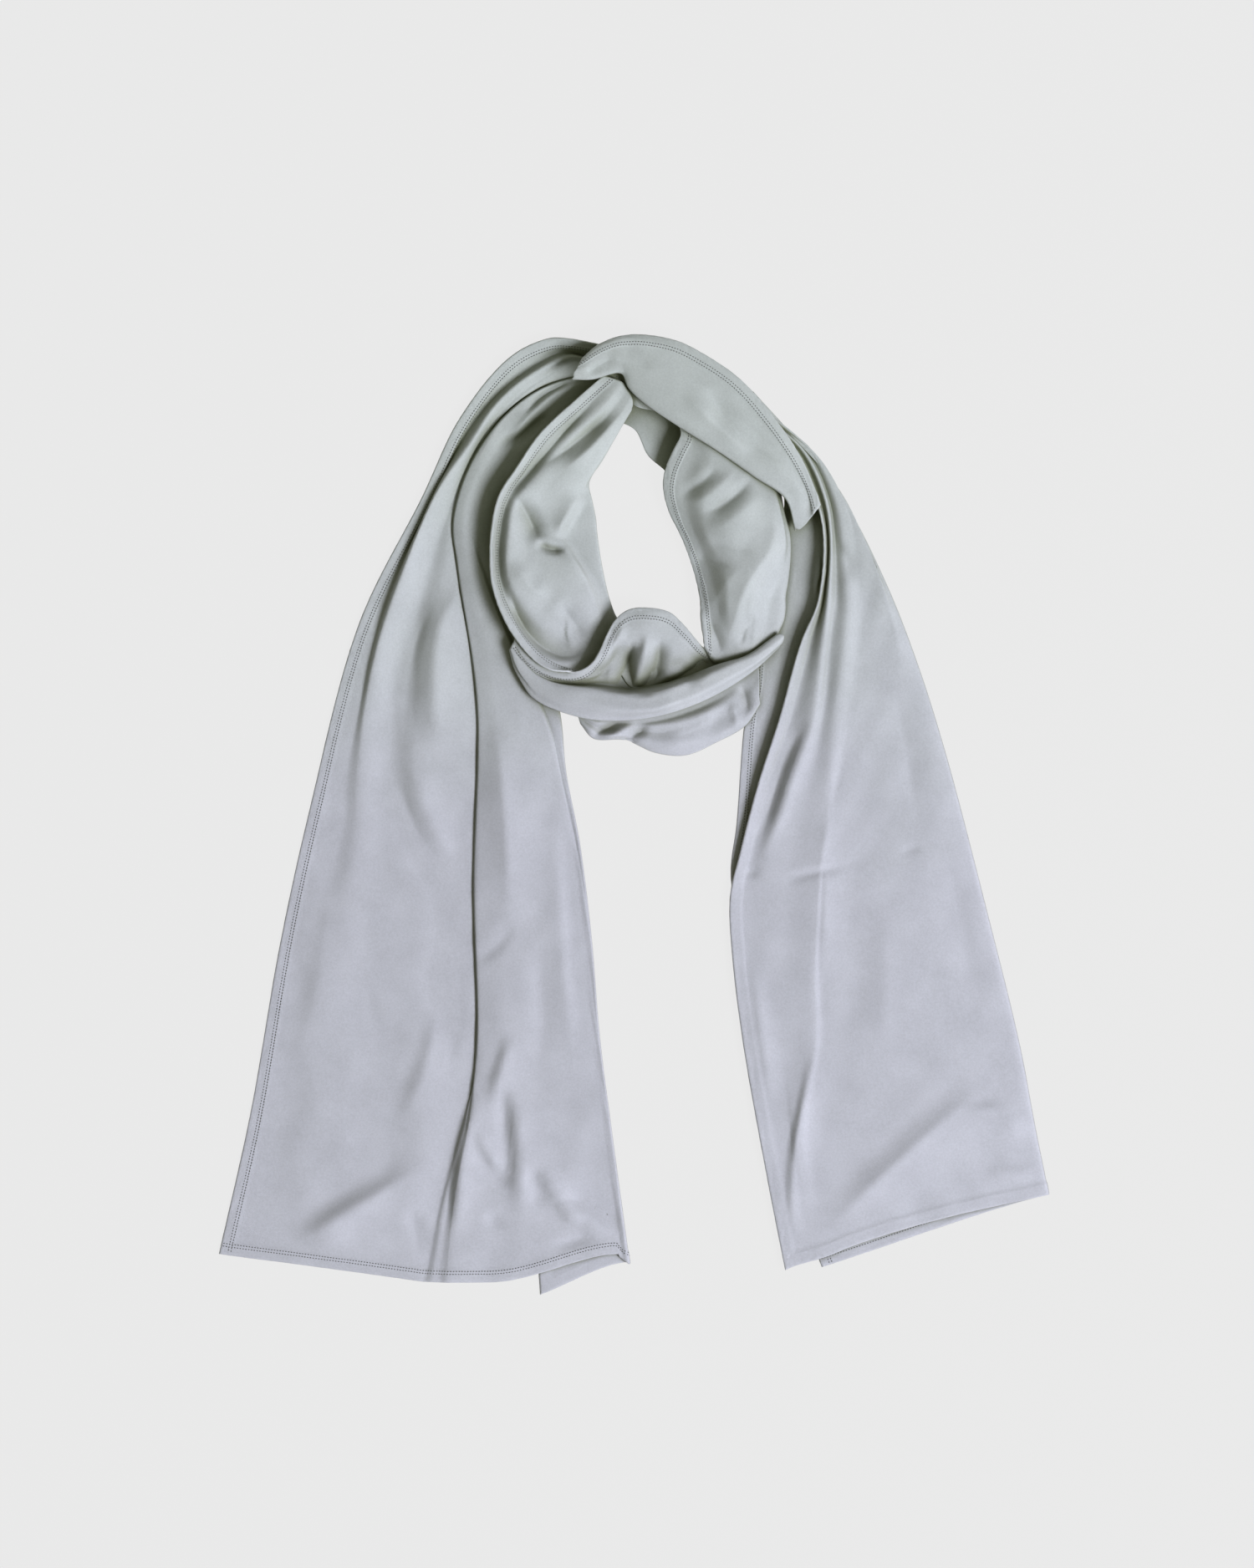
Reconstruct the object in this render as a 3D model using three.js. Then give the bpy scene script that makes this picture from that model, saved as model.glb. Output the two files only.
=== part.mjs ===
// A long stretch scarf, wound once round the neck opening and laid flat with both tails down.
// Millimetres, +Z up. The scarf lies on z = 0 and the origin is under the middle of its outline.
// Each stretch of the strip that shows is one closed wall, lofted across its named fold lines.

import * as THREE from "three";

// Driving dimensions, in millimetres
const CLOTH_WIDTH = 395;
const WALL = 1.2;
const LAYER_PITCH = 1.8;
const FILL_GAP = 0.4;
const LAP_EASE = 3.2;

// The lay-out plan is drawn in plan units, x to the right and y down, with the flat cloth 608 units wide.
const CLOTH_WIDTH_UNITS = 608;
const PLAN_UNIT = CLOTH_WIDTH / CLOTH_WIDTH_UNITS;
const PLAN_CENTRE = { x: 757, y: 976 };

// Colours of the jersey, lilac grey where it lies flat and sage grey in the wound part
const LILAC_GREY = 0xc7c6ce;
const SAGE_GREY = 0xb9bdb6;

// Fold lines run along the strip. Each row is one fold line: its name, what it is, and its path as
// [plan x, plan y, height in mm]. A "lap" row also has the depth of cloth hidden behind its edge.

const LEFT_TAIL = {
  stations: 35,
  folds: [
    { name: "hem", steps: 1, path: [
      [720, 414, 12], [700, 410, 12], [676, 406, 11], [655, 406, 8], [610, 428, 6], [550, 501, 5],
      [505, 595, 4], [430, 745, 2.4], [370, 970, 0.6], [335, 1130, 0.6], [300, 1330, 0.6], [262, 1500, 0.6]] },
    { name: "rim", steps: 1, path: [
      [721, 421, 8], [700, 416, 8], [680, 413, 8], [664, 412, 7], [619, 433, 4.4], [560, 507, 3.4],
      [515, 599, 3], [441, 749, 2], [381, 972, 0.6], [346, 1132, 0.6], [311, 1332, 0.6], [275, 1502, 0.6]] },
    { name: "outer trough", steps: 2, path: [
      [721, 432, 2.5], [692, 425, 2], [670, 422, 1.6], [620, 451, 1.2], [573, 497, 1], [541, 547, 1],
      [503, 625, 1.6], [452, 752, 2], [404, 972, 0.6], [368, 1132, 0.6], [332, 1335, 0.6], [297, 1505, 0.6]] },
    { name: "long crest", steps: 2, path: [
      [721, 439, 6], [700, 430, 7], [683, 427, 8], [633, 451, 8], [593, 486, 8], [562, 533, 8.5],
      [523, 590, 9], [481, 689, 9], [453, 772, 7], [436, 860, 4.5], [426, 990, 2.4], [408, 1150, 2],
      [384, 1340, 2.2], [352, 1512, 0.8]] },
    { name: "long trough", steps: 2, path: [
      [720, 446, 2], [689, 435, 1.6], [640, 461, 1.2], [598, 497, 0.9], [563, 549, 0.8], [540, 604, 0.6],
      [520, 664, 0.6], [497, 742, 0.6], [479, 800, 0.6], [468, 900, 0.6], [462, 1000, 1.2], [470, 1140, 1.4],
      [462, 1340, 1.2], [440, 1524, 0.6]] },
    { name: "middle rise", steps: 2, path: [
      [721, 449, 0.6], [690, 443, 0.6], [643, 464, 0.6], [601, 497, 0.6], [567, 545, 0.6], [541, 609, 0.6],
      [532, 690, 2.2], [512, 770, 5.5], [503, 840, 5], [497, 920, 3.4], [505, 1010, 2.4], [515, 1140, 1.6],
      [510, 1300, 2.8], [500, 1400, 3], [490, 1531, 0.6]] },
    { name: "pleat", steps: 1, lap: [10, 14, 18, 22, 24, 24, 24, 22, 16, -4, -14, -22], path: [
      [722, 455, 0.6], [683, 453, 0.6], [626, 479, 0.6], [571, 541, 0.6], [543, 620, 0.6], [548, 679, 0.6],
      [571, 842, 0.6], [567, 1060, 0.6], [571, 1240, 0.6], [562, 1335, 0.6], [543, 1430, 0.6], [530, 1534, 0.6]] },
    { name: "pleat swell", steps: 2, path: [
      [722, 466, 5.2], [690, 462, 5.4], [634, 489, 5.4], [583, 548, 5.2], [556, 620, 5.2], [566, 690, 6],
      [594, 820, 6.4], [600, 940, 6], [603, 1060, 5.6], [606, 1240, 6], [600, 1340, 5], [590, 1430, 5],
      [585, 1534, 2.4]] },
    { name: "step", steps: 1, path: [
      [722, 474, 4.6], [694, 470, 4.6], [640, 500, 4.6], [592, 560, 4.4], [564, 625, 4.6], [578, 690, 6],
      [622, 797, 6.8], [652, 862, 6.4], [668, 925, 5.2], [684, 1010, 4.4], [698, 1120, 4.2], [708, 1240, 4.2],
      [722, 1350, 4.2], [738, 1500, 3.4]] },
    { name: "step foot", steps: 1, path: [
      [722, 478, 4.2], [697, 475, 4.2], [645, 505, 4.2], [598, 566, 4.2], [569, 628, 4.2], [583, 692, 4.2],
      [627, 799, 4.2], [656, 864, 4.2], [671, 926, 4.2], [687, 1011, 4.2], [701, 1120, 4.2], [711, 1240, 4.2],
      [725, 1350, 4.2], [742, 1504, 3.2]] },
    { name: "right fold", steps: 1, turn: 1.8, path: [
      [722, 494, 2.4], [702, 498, 2.4], [668, 524, 2.4], [637, 570, 2.4], [622, 628, 2.4], [630, 700, 2.4],
      [650, 785, 2.4], [669, 850, 2.4], [677, 925, 2.4], [693, 1008, 2.4], [707, 1120, 2.4],
      [717, 1240, 2.4], [731, 1350, 2.4], [753, 1512, 2.4]] },
    { name: "underlap", steps: 1, path: [
      [722, 484, 0.6], [700, 486, 0.6], [660, 514, 0.6], [620, 566, 0.6], [600, 628, 0.6], [606, 700, 0.6],
      [612, 785, 0.6], [616, 850, 0.6], [618, 925, 0.6], [620, 1008, 0.6], [622, 1120, 0.6],
      [627, 1240, 0.6], [633, 1350, 0.6], [646, 1549, 0.6]] },
  ],
};

const RIGHT_TAIL = {
  stations: 30,
  folds: [
    { name: "hem", steps: 1, path: [
      [891, 500, 17], [940, 537, 14], [970, 588, 13], [984, 633, 12.5], [978, 720, 12], [957, 770, 11.5],
      [933, 856, 10], [906, 940, 8.6], [885, 1020, 7], [873, 1073, 5.4], [876, 1147, 4.4], [889, 1250, 4.2],
      [918, 1412, 4.2], [939, 1519, 4.2]] },
    { name: "inner trough", steps: 2, path: [
      [892, 495, 16.8], [950, 536, 9], [976, 586, 7], [989, 635, 6.4], [985, 720, 6], [968, 775, 6],
      [948, 856, 5.4], [921, 945, 4.6], [901, 1024, 4.2], [890, 1073, 4.2], [893, 1147, 4.2], [905, 1250, 4.2],
      [932, 1412, 4.2], [951, 1514, 4.2]] },
    { name: "narrow roll", steps: 2, path: [
      [893, 490, 17.2], [957, 537, 12], [985, 592, 12], [993, 640, 12], [990, 715, 12], [981, 785, 12],
      [972, 860, 11], [945, 950, 9], [922, 1024, 6.4], [915, 1073, 5.2], [918, 1147, 4.6], [930, 1250, 4.4],
      [952, 1412, 4.2], [968, 1509, 4.2]] },
    { name: "pocket", steps: 2, path: [
      [894, 486, 16.8], [964, 540, 8], [991, 597, 5.6], [998, 645, 5.6], [999, 720, 5.2], [992, 790, 5.4],
      [985, 850, 7.4], [966, 950, 7.4], [945, 1024, 6], [938, 1073, 5.4], [941, 1147, 5], [948, 1250, 5],
      [951, 1350, 5.4], [960, 1412, 4.8], [982, 1505, 4.2]] },
    { name: "wide roll", steps: 2, path: [
      [895, 482, 17], [971, 542, 10], [1001, 602, 9], [1010, 660, 10], [1014, 730, 11], [1007, 800, 10.6],
      [998, 860, 10], [990, 950, 9], [980, 1030, 8], [976, 1090, 7.4], [973, 1170, 6.6], [974, 1240, 6.2],
      [958, 1340, 5.8], [966, 1420, 4.8], [994, 1501, 4.2]] },
    { name: "roll foot", steps: 2, path: [
      [896, 478, 16.4], [981, 551, 9], [1012, 612, 8.4], [1025, 670, 8.4], [1030, 740, 8.2], [1024, 810, 7.6],
      [1014, 880, 7], [1000, 960, 5.6], [988, 1034, 4.6], [984, 1092, 4.4], [981, 1172, 4.4], [984, 1245, 4.4],
      [968, 1342, 4.4], [978, 1422, 4.4], [1010, 1494, 4.2]] },
    { name: "broad swell", steps: 3, path: [
      [897, 474, 15.4], [994, 575, 8], [1035, 650, 8], [1065, 740, 7.4], [1080, 860, 6.6], [1095, 960, 6],
      [1100, 1100, 5.6], [1105, 1240, 5.4], [1108, 1350, 5.6], [1125, 1458, 4.2]] },
    { name: "right fold", steps: 1, turn: 1.8, path: [
      [900, 470, 12], [952, 527, 5], [1008, 598, 3], [1060, 700, 2.4], [1097, 795, 2.4], [1130, 900, 2.4], [1176, 1075, 2.4],
      [1219, 1250, 2.4], [1237, 1345, 2.4], [1254, 1429, 2.4]] },
    { name: "underlap", steps: 3, path: [
      [932, 526, 4.6], [938, 585, 2], [934, 650, 0.6], [907, 740, 0.6], [898, 830, 0.6], [890, 870, 0.6], [881, 985, 0.6],
      [874, 1045, 0.6], [885, 1120, 0.6], [905, 1250, 0.6], [944, 1412, 0.6], [983, 1516, 0.6]] },
  ],
};

const NECK_BACK = {
  stations: 14,
  folds: [
    { name: "hem", steps: 2, path: [
      [723.4, 456, 12], [745, 474, 13], [762, 488, 14], [783, 493, 15], [799, 500, 15.5], [808, 505, 16]] },
    { name: "back swell", steps: 2, path: [
      [723.4, 438, 15], [752, 440, 18], [790, 448, 20.2], [830, 468, 19.4], [868, 498, 17.4], [880, 515, 16]] },
    { name: "outer fold", steps: 1, turn: 6, path: [
      [723.4, 418, 7.6], [760, 411, 7.6], [815, 419, 7.6], [862, 446, 7.6], [898, 484, 7.6], [915, 525, 7.6]] },
    { name: "lower layer", steps: 2, path: [
      [723.4, 450, 0.8], [752, 460, 0.8], [790, 475, 0.8], [822, 500, 0.8], [850, 530, 0.8], [858, 552, 0.8]] },
    { name: "lower hem", steps: 1, path: [
      [723.4, 497, 0.6], [742, 505, 0.6], [760, 515, 0.6], [775, 545, 0.6], [795, 563, 0.6], [803, 575, 0.6]] },
  ],
};

const LOOP_RIGHT = {
  stations: 22,
  folds: [
    { name: "hem", steps: 2, path: [
      [811, 507, 16], [814, 521, 16], [806, 538, 15], [796, 561, 12.5], [793, 582, 11], [800, 612, 9],
      [816, 645, 8], [830, 685, 8], [837, 715, 9], [838, 740, 10], [842, 772, 12]] },
    { name: "hem trough", steps: 2, path: [
      [826, 512, 16], [830, 527, 16.6], [826, 545, 16.6], [820, 565, 15.4], [815, 588, 14], [822, 620, 13],
      [838, 660, 12], [850, 695, 12], [857, 722, 15], [859, 750, 14], [858, 789, 9.6]] },
    { name: "inner crest", steps: 2, path: [
      [848, 517, 17.4], [852, 535, 19], [850, 558, 21], [846, 580, 22], [842, 604, 22], [846, 636, 22.6],
      [862, 672, 22], [872, 703, 23], [872, 730, 22], [874, 756, 17], [873, 791, 9.6]] },
    { name: "crest", steps: 2, path: [
      [880, 524, 16.4], [884, 546, 17], [884, 570, 21], [881, 595, 25], [878, 620, 26], [880, 650, 26.4],
      [892, 685, 26], [896, 714, 25], [893, 738, 23], [890, 762, 17.6], [887, 788, 10]] },
    { name: "outer shoulder", steps: 2, path: [
      [905, 530, 14.4], [912, 556, 14.6], [915, 582, 16], [917, 606, 20], [920, 630, 22], [926, 652, 22],
      [914, 690, 22], [906, 716, 21], [902, 738, 19], [900, 758, 16], [898, 780, 11.6]] },
    { name: "lower shoulder", steps: 1, path: [
      [914, 533, 12], [922, 561, 12], [927, 588, 13], [932, 610, 16], [937, 633, 17], [939, 654, 15.4],
      [929, 694, 12], [922, 716, 11], [919, 732, 11], [916, 750, 11], [912, 770, 10.4]] },
    { name: "outer fold", steps: 1, turn: 3, path: [
      [920, 537, 7.4], [929, 566, 7], [934, 594, 7], [938, 616, 7], [944, 640, 7], [945, 662, 7],
      [942, 696, 6.6], [939, 714, 6.4], [939, 728, 6.4], [937, 742, 6.4], [931, 756, 6.4]] },
    { name: "lower layer", steps: 2, path: [
      [890, 545, 3.8], [895, 572, 3.6], [898, 598, 3.4], [901, 620, 3.2], [905, 645, 3.2], [906, 668, 3.2],
      [902, 702, 3.2], [900, 720, 3.2], [898, 734, 3.2], [896, 746, 3.2], [893, 758, 3.2]] },
    { name: "lower hem", steps: 1, path: [
      [842, 560, 2.8], [842, 582, 2.6], [840, 600, 1.8], [836, 620, 1], [840, 650, 0.6], [846, 676, 0.6],
      [856, 700, 0.6], [860, 718, 0.6], [862, 732, 0.6], [863, 744, 0.6], [865, 756, 0.6]] },
  ],
};

const LOOP_FRONT = {
  stations: 30,
  folds: [
    { name: "hem", steps: 2, path: [
      [848, 781, 8], [838, 772, 11], [820, 751, 14], [800, 733, 16], [775, 728, 17], [752, 730, 17],
      [737, 741, 17], [727, 757, 18], [717, 780, 20], [708, 794, 21], [695, 802.5, 21], [680, 804, 19], [664, 801.5, 18.8], [646, 793.5, 18.6], [630, 779.5, 18.6], [617, 761, 18]] },
    { name: "hem row", steps: 2, path: [
      [853, 788, 6], [838, 783, 10], [818, 768, 15], [798, 752, 17.6], [775, 746, 18.6],
      [758, 748, 18], [746, 758, 17.6], [737, 772, 17.4], [727, 793, 17.6], [714, 806, 18],
      [697, 812, 18], [680, 813, 18], [662, 809, 18], [643, 800, 17.8], [628, 786, 17.8],
      [616, 766, 17.6]] },
    { name: "finger brow", steps: 2, path: [
      [864, 795, 4.8], [842, 793, 8], [818, 786, 12.6], [796, 779, 14.6], [775, 776, 16],
      [760, 778, 15.6], [750, 784, 14.6], [742, 794, 13.6], [730, 805, 13], [716, 812, 12.6],
      [697, 816, 13], [679, 816, 14.4], [660, 812, 16], [642, 802, 17], [627, 788, 17.4],
      [615, 768, 17.4]] },
    { name: "crease", steps: 2, path: [
      [894, 792, 5.6], [862, 803, 6.4], [836, 807, 7.2], [812, 812, 7.4], [790, 818, 7.6],
      [772, 821, 8], [757, 821, 8], [745, 820, 8.4], [730, 819, 9], [714, 818, 9.6], [695, 819, 11],
      [677, 819, 13], [659, 815, 15.4], [641, 805, 16.8], [626, 790, 17.4], [614, 770, 17.3]] },
    { name: "band brink", steps: 1, path: [
      [933, 759, 14], [897, 784, 17.4], [862, 795, 19], [830, 807, 20], [806, 818, 21],
      [786, 828, 22], [770, 833, 22], [752, 831, 22], [733, 828, 22], [714, 825, 22],
      [692, 823, 21.4], [674, 821, 20.6], [657, 817, 19.6], [640, 808, 18.6], [625, 792, 17.8],
      [613, 772, 17.4]] },
    { name: "band brow", steps: 2, path: [
      [937, 762, 14.6], [903, 786, 19], [866, 800, 21.6], [834, 813, 23], [808, 824, 24],
      [788, 834, 24.6], [770, 838, 24.8], [750, 837, 24.8], [731, 834, 24.6], [711, 831, 24.4],
      [688, 829, 23.8], [670, 827, 22.4], [653, 822, 20.8], [637, 812, 19], [623, 796, 18],
      [612, 774, 17.2]] },
    { name: "band face", steps: 2, path: [
      [936, 768, 13], [905, 792, 18], [870, 811, 21], [836, 828, 22.6], [806, 840, 23.6],
      [784, 848, 24], [766, 850, 24], [746, 850, 24], [724, 849, 23.6], [702, 845, 23],
      [680, 841, 22], [661, 836, 20.6], [645, 828, 19], [631, 816, 17.8], [619, 799, 17],
      [611, 776, 16.6]] },
    { name: "band fold", steps: 1, turn: 2.2, path: [
      [932, 774, 8.4], [904, 800, 10], [872, 822, 11.6], [842, 838, 13], [808, 851, 14],
      [780, 858, 14.4], [758, 861, 14.4], [735, 862, 14.4], [712, 861, 14.4], [690, 857, 14.4],
      [665, 849, 14], [649, 842, 13.6], [635, 832, 13.4], [625, 817, 13.4], [616, 800, 13.4],
      [610, 778, 13.8]] },
    { name: "band back", steps: 1, path: [
      [918, 776, 6.8], [893, 800, 7.8], [862, 812, 9.2], [834, 827, 10.6], [806, 838, 11.6],
      [780, 844, 12], [760, 847, 12], [738, 847, 12], [718, 846, 12], [698, 842, 12],
      [676, 834, 11.8], [662, 828, 11.6], [650, 818, 12], [639, 806, 12.6], [629, 791, 13],
      [619, 773, 13.4]] },
  ],
};

const FRONT_UNDERFOLD = {
  stations: 18,
  folds: [
    { name: "top edge", steps: 2, path: [
      [902, 772, 3], [872, 792, 3.4], [835, 816, 4.4], [800, 830, 5], [765, 838, 5.4], [730, 840, 5.4],
      [700, 838, 5.4], [678, 834, 5.4]] },
    { name: "hidden swell", steps: 2, path: [
      [906, 790, 3.2], [880, 812, 4], [846, 834, 5.6], [808, 848, 6.6], [770, 856, 6.6], [735, 857, 6],
      [706, 853, 5.4], [682, 844, 5]] },
    { name: "long ridge", steps: 2, path: [
      [908, 808, 3.6], [885, 832, 3.8], [853, 848, 7], [812, 861, 7.6], [775, 867, 6.6], [742, 866, 4.4],
      [712, 863, 6], [686, 850, 4.6]] },
    { name: "long trough", steps: 2, path: [
      [908, 822, 4.4], [887, 846, 4.4], [860, 860, 4.4], [818, 875, 3], [780, 876, 3.4], [748, 872, 4.6],
      [714, 870, 3.6], [690, 855, 3.6]] },
    { name: "low swell", steps: 2, path: [
      [908, 834, 4.6], [888, 861, 5.2], [856, 878, 6], [820, 889, 5.6], [784, 888, 5], [750, 880, 5.4],
      [713, 877, 5], [693, 861, 3.4]] },
    { name: "outer fold", steps: 1, turn: 0.9, path: [
      [909, 842, 3.4], [891, 868, 3], [856, 888, 1.6], [820, 903, 1.5], [784, 900, 1.5], [748, 885, 1.5],
      [710, 883, 1.5], [695, 866, 1.5]] },
    { name: "under layer", steps: 2, path: [
      [893, 826, 2.4], [873, 838, 1.8], [845, 848, 0.8], [808, 860, 0.6], [775, 862, 0.6], [742, 860, 0.6],
      [718, 856, 0.6], [702, 850, 0.6]] },
  ],
};

const LOOP_LEFT = {
  stations: 26,
  folds: [
    { name: "hem", steps: 1, path: [
      [676, 800, 23], [660, 799, 22.8], [640, 790, 23], [614, 760, 23], [599, 731, 22.6], [589, 698, 22],
      [587, 673, 21.6], [588, 640, 21.4], [597, 596, 21], [618, 562, 20.6], [646, 521, 20], [689, 480, 19.6],
      [722, 451, 20.4]] },
    { name: "hem trough", steps: 2, path: [
      [687, 800, 14], [664, 791, 15.6], [647, 779, 16], [624, 750, 16], [609, 724, 15], [599, 695, 14.4],
      [597, 673, 14], [598, 643, 14], [606, 602, 14], [627, 569, 14], [655, 530, 14.6], [698, 490, 16],
      [731, 454, 19.6]] },
    { name: "inner ridge", steps: 2, path: [
      [702, 800, 9], [677, 782, 11], [655, 765, 14], [637, 742, 18], [621, 717, 20], [610, 690, 20.6],
      [608, 670, 20.6], [610, 640, 20.4], [617, 606, 20.4], [642, 572, 19.6], [676, 530, 19], [716, 494, 19],
      [744, 459, 20.6]] },
    { name: "upper trough", steps: 2, path: [
      [716, 798, 5], [692, 770, 7], [673, 752, 11], [655, 728, 14], [641, 704, 15.6], [632, 678, 15.6],
      [631, 655, 14.6], [634, 632, 12], [642, 606, 14], [662, 578, 15], [692, 545, 13.6], [722, 508, 14],
      [751, 469, 19.4]] },
    { name: "middle ridge", steps: 2, path: [
      [729, 790, 3.6], [706, 762, 6], [692, 738, 10.4], [678, 714, 13.6], [666, 690, 14.4], [660, 668, 13.4],
      [657, 648, 11], [662, 626, 8], [670, 600, 9.6], [684, 576, 12], [706, 548, 12.4], [729, 514, 14],
      [755, 476, 19]] },
    { name: "front fold", steps: 2, path: [
      [742, 779, 2.2], [724, 756, 4], [714, 730, 6.4], [704, 704, 8], [692, 680, 8.6], [678, 662, 8.4],
      [668, 646, 8], [674, 622, 6.6], [684, 600, 7], [693, 582, 9], [708, 562, 10], [731, 527, 12],
      [757, 482, 17.6]] },
    { name: "fold foot", steps: 1, path: [
      [750, 771, 2.2], [731, 750, 2.8], [719, 726, 3], [709, 703, 3.2], [697, 679, 3.4], [686, 660, 3.6],
      [680, 645, 4], [685, 621, 4], [692, 600, 4.4], [699, 583, 6], [712, 562, 8], [734, 527, 10],
      [757, 486, 16.8]] },
    { name: "neck edge", steps: 1, turn: 0.9, path: [
      [760, 762, 1.5], [738, 740, 1.5], [729, 718, 1.5], [723, 694, 1.5], [718, 668, 1.5], [714, 640, 1.5],
      [712, 619, 1.5], [708, 600, 1.7], [704, 580, 2.4], [708, 569, 3.6], [719, 553, 5], [738, 520, 7.4],
      [755, 492, 15]] },
  ],
};

const NECK_BAND = {
  stations: 22,
  folds: [
    { name: "lower return", steps: 2, path: [
      [700, 440, 22], [716, 440, 22], [735, 436, 22], [755, 446, 22], [778, 462, 22], [815, 490, 21.8],
      [860, 521, 21.2], [905, 552, 20], [940, 580, 15.2],
      [954, 616, 7]] },
    { name: "lower fold", steps: 1, turn: 1.6, path: [
      [684, 456, 23.4], [708, 456, 23.8], [743, 449, 24], [752, 466, 24], [768, 482, 24], [810, 511, 23.6],
      [856, 540, 22.8], [902, 572, 21.4], [939, 598, 16.4],
      [951, 636, 8]] },
    { name: "lower brow", steps: 2, path: [
      [686, 450, 26], [710, 447, 27], [742, 439, 27.6], [757, 454, 27.8], [775, 472, 28], [816, 502, 27.6],
      [862, 531, 26.4], [908, 562, 24.4], [945, 590, 18],
      [955, 634, 9.6]] },
    { name: "lower swell", steps: 2, path: [
      [689, 445, 27], [712, 438, 29], [742, 428, 30], [768, 440, 30.4], [793, 458, 30.4], [832, 486, 30],
      [876, 518, 28.4], [920, 553, 25.4], [954, 586, 18],
      [961, 630, 10]] },
    { name: "valley", steps: 2, path: [
      [692, 441, 26.6], [713, 430, 28.6], [745, 418, 29.6], [782, 430, 29.6], [812, 448, 29], [850, 476, 27.4],
      [892, 508, 25.4], [933, 547, 22], [963, 588, 15.6],
      [968, 622, 11]] },
    { name: "hem row", steps: 2, path: [
      [695, 436, 26], [714, 422, 28], [748, 410, 29], [795, 418, 29], [830, 437, 28.4], [872, 466, 27],
      [908, 500, 24.8], [945, 548, 21], [970, 592, 15.4], [975, 613, 14.6]] },
    { name: "hem", steps: 1, path: [
      [698, 431, 24], [717, 415, 26], [752, 404, 26.6], [806, 410, 26.6], [842, 427, 26], [884, 456, 24.6],
      [918, 493, 22.4], [955, 545, 19], [975, 588, 15.4], [981, 605, 14.6]] },
  ],
};

// Soft creases over the lofted cloth. Each row runs from one plan point through another to a third,
// with its rise in mm at the middle and its half width in plan units.
const LEFT_TAIL_CREASES = [
  { from: [549, 700], by: [520, 752], to: [500, 850], rise: 3.2, half: 11 },
  { from: [458, 925], by: [492, 965], to: [540, 1045], rise: 2.2, half: 16 },
  { from: [350, 1480], by: [425, 1445], to: [492, 1385], rise: 3.4, half: 15 },
  { from: [430, 1230], by: [500, 1245], to: [515, 1300], rise: 2.2, half: 17 },
  { from: [552, 1350], by: [575, 1385], to: [606, 1400], rise: 2.4, half: 9 },
  { from: [620, 1235], by: [622, 1340], to: [625, 1455], rise: 2.2, half: 8 },
  { from: [640, 1390], by: [668, 1432], to: [700, 1484], rise: 3, half: 11 },
];

const RIGHT_TAIL_CREASES = [
  { from: [985, 1470], by: [1085, 1372], to: [1190, 1290], rise: 2.2, half: 17 },
  { from: [1150, 1332], by: [1185, 1342], to: [1230, 1352], rise: 2, half: 11 },
  { from: [1060, 1000], by: [1080, 1130], to: [1060, 1260], rise: 1.2, half: 24 },
];

const LOOP_RIGHT_CREASES = [
  { from: [836, 566], by: [858, 572], to: [868, 552], rise: -2.4, half: 6 },
  { from: [832, 596], by: [860, 606], to: [888, 574], rise: -3.4, half: 8 },
  { from: [845, 650], by: [885, 657], to: [925, 650], rise: -1.6, half: 9 },
  { from: [850, 690], by: [870, 690], to: [888, 684], rise: -3.6, half: 10 },
];

const LOOP_FRONT_CREASES = [
  { from: [752, 762], by: [748, 782], to: [738, 806], rise: 4.4, half: 5 },
  { from: [776, 764], by: [774, 785], to: [764, 812], rise: 4.4, half: 5 },
];

const LOOP_LEFT_CREASES = [
  { from: [640, 606], by: [642, 640], to: [672, 660], rise: -3, half: 7 },
  { from: [612, 690], by: [650, 722], to: [700, 745], rise: -1.6, half: 9 },
];

// A plan point at a height, in the part's own frame.
function placed([x, y, height]) {
  return new THREE.Vector3((x - PLAN_CENTRE.x) * PLAN_UNIT, (PLAN_CENTRE.y - y) * PLAN_UNIT, height);
}

// Slope of a curve at each knot that never overshoots its neighbours, after Fritsch and Carlson.
function steadySlopes(at, value) {
  const last = at.length - 1;
  const secant = at.slice(1).map((t, i) => (value[i + 1] - value[i]) / (t - at[i]));
  return at.map((_, i) => {
    if (i === 0) return secant[0];
    if (i === last) return secant[last - 1];
    if (secant[i - 1] * secant[i] <= 0) return 0;
    const before = at[i] - at[i - 1];
    const after = at[i + 1] - at[i];
    const early = 2 * after + before;
    const late = after + 2 * before;
    return (early + late) / (early / secant[i - 1] + late / secant[i]);
  });
}

// Points on a smooth section through the knots, with the given number of steps after each knot.
function section(knots, steps) {
  const at = [0];
  knots.slice(1).forEach((knot, i) => at.push(at[i] + Math.max(knot.distanceTo(knots[i]), 0.05)));
  const axes = ["x", "y", "z"];
  const slopes = axes.map((axis) => steadySlopes(at, knots.map((knot) => knot[axis])));
  const points = [];
  for (let i = 0; i < knots.length - 1; i += 1) {
    const span = at[i + 1] - at[i];
    for (let step = 0; step < steps[i]; step += 1) {
      const t = step / steps[i];
      const [v0, v1, v2] = axes.map((axis, k) => {
        const [a, b] = [knots[i][axis], knots[i + 1][axis]];
        const [m, n] = [slopes[k][i] * span, slopes[k][i + 1] * span];
        return a * (1 + 2 * t) * (1 - t) ** 2 + b * t * t * (3 - 2 * t) + m * t * (1 - t) ** 2 - n * t * t * (1 - t);
      });
      points.push(new THREE.Vector3(v0, v1, v2));
    }
  }
  points.push(knots[knots.length - 1].clone());
  return points;
}

// The lap depth of a pleat at a share of its length, from its evenly spread list.
function lapAt(depths, share) {
  const spot = share * (depths.length - 1);
  const low = Math.min(Math.floor(spot), depths.length - 2);
  return THREE.MathUtils.lerp(depths[low], depths[low + 1], spot - low) * PLAN_UNIT;
}

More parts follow.
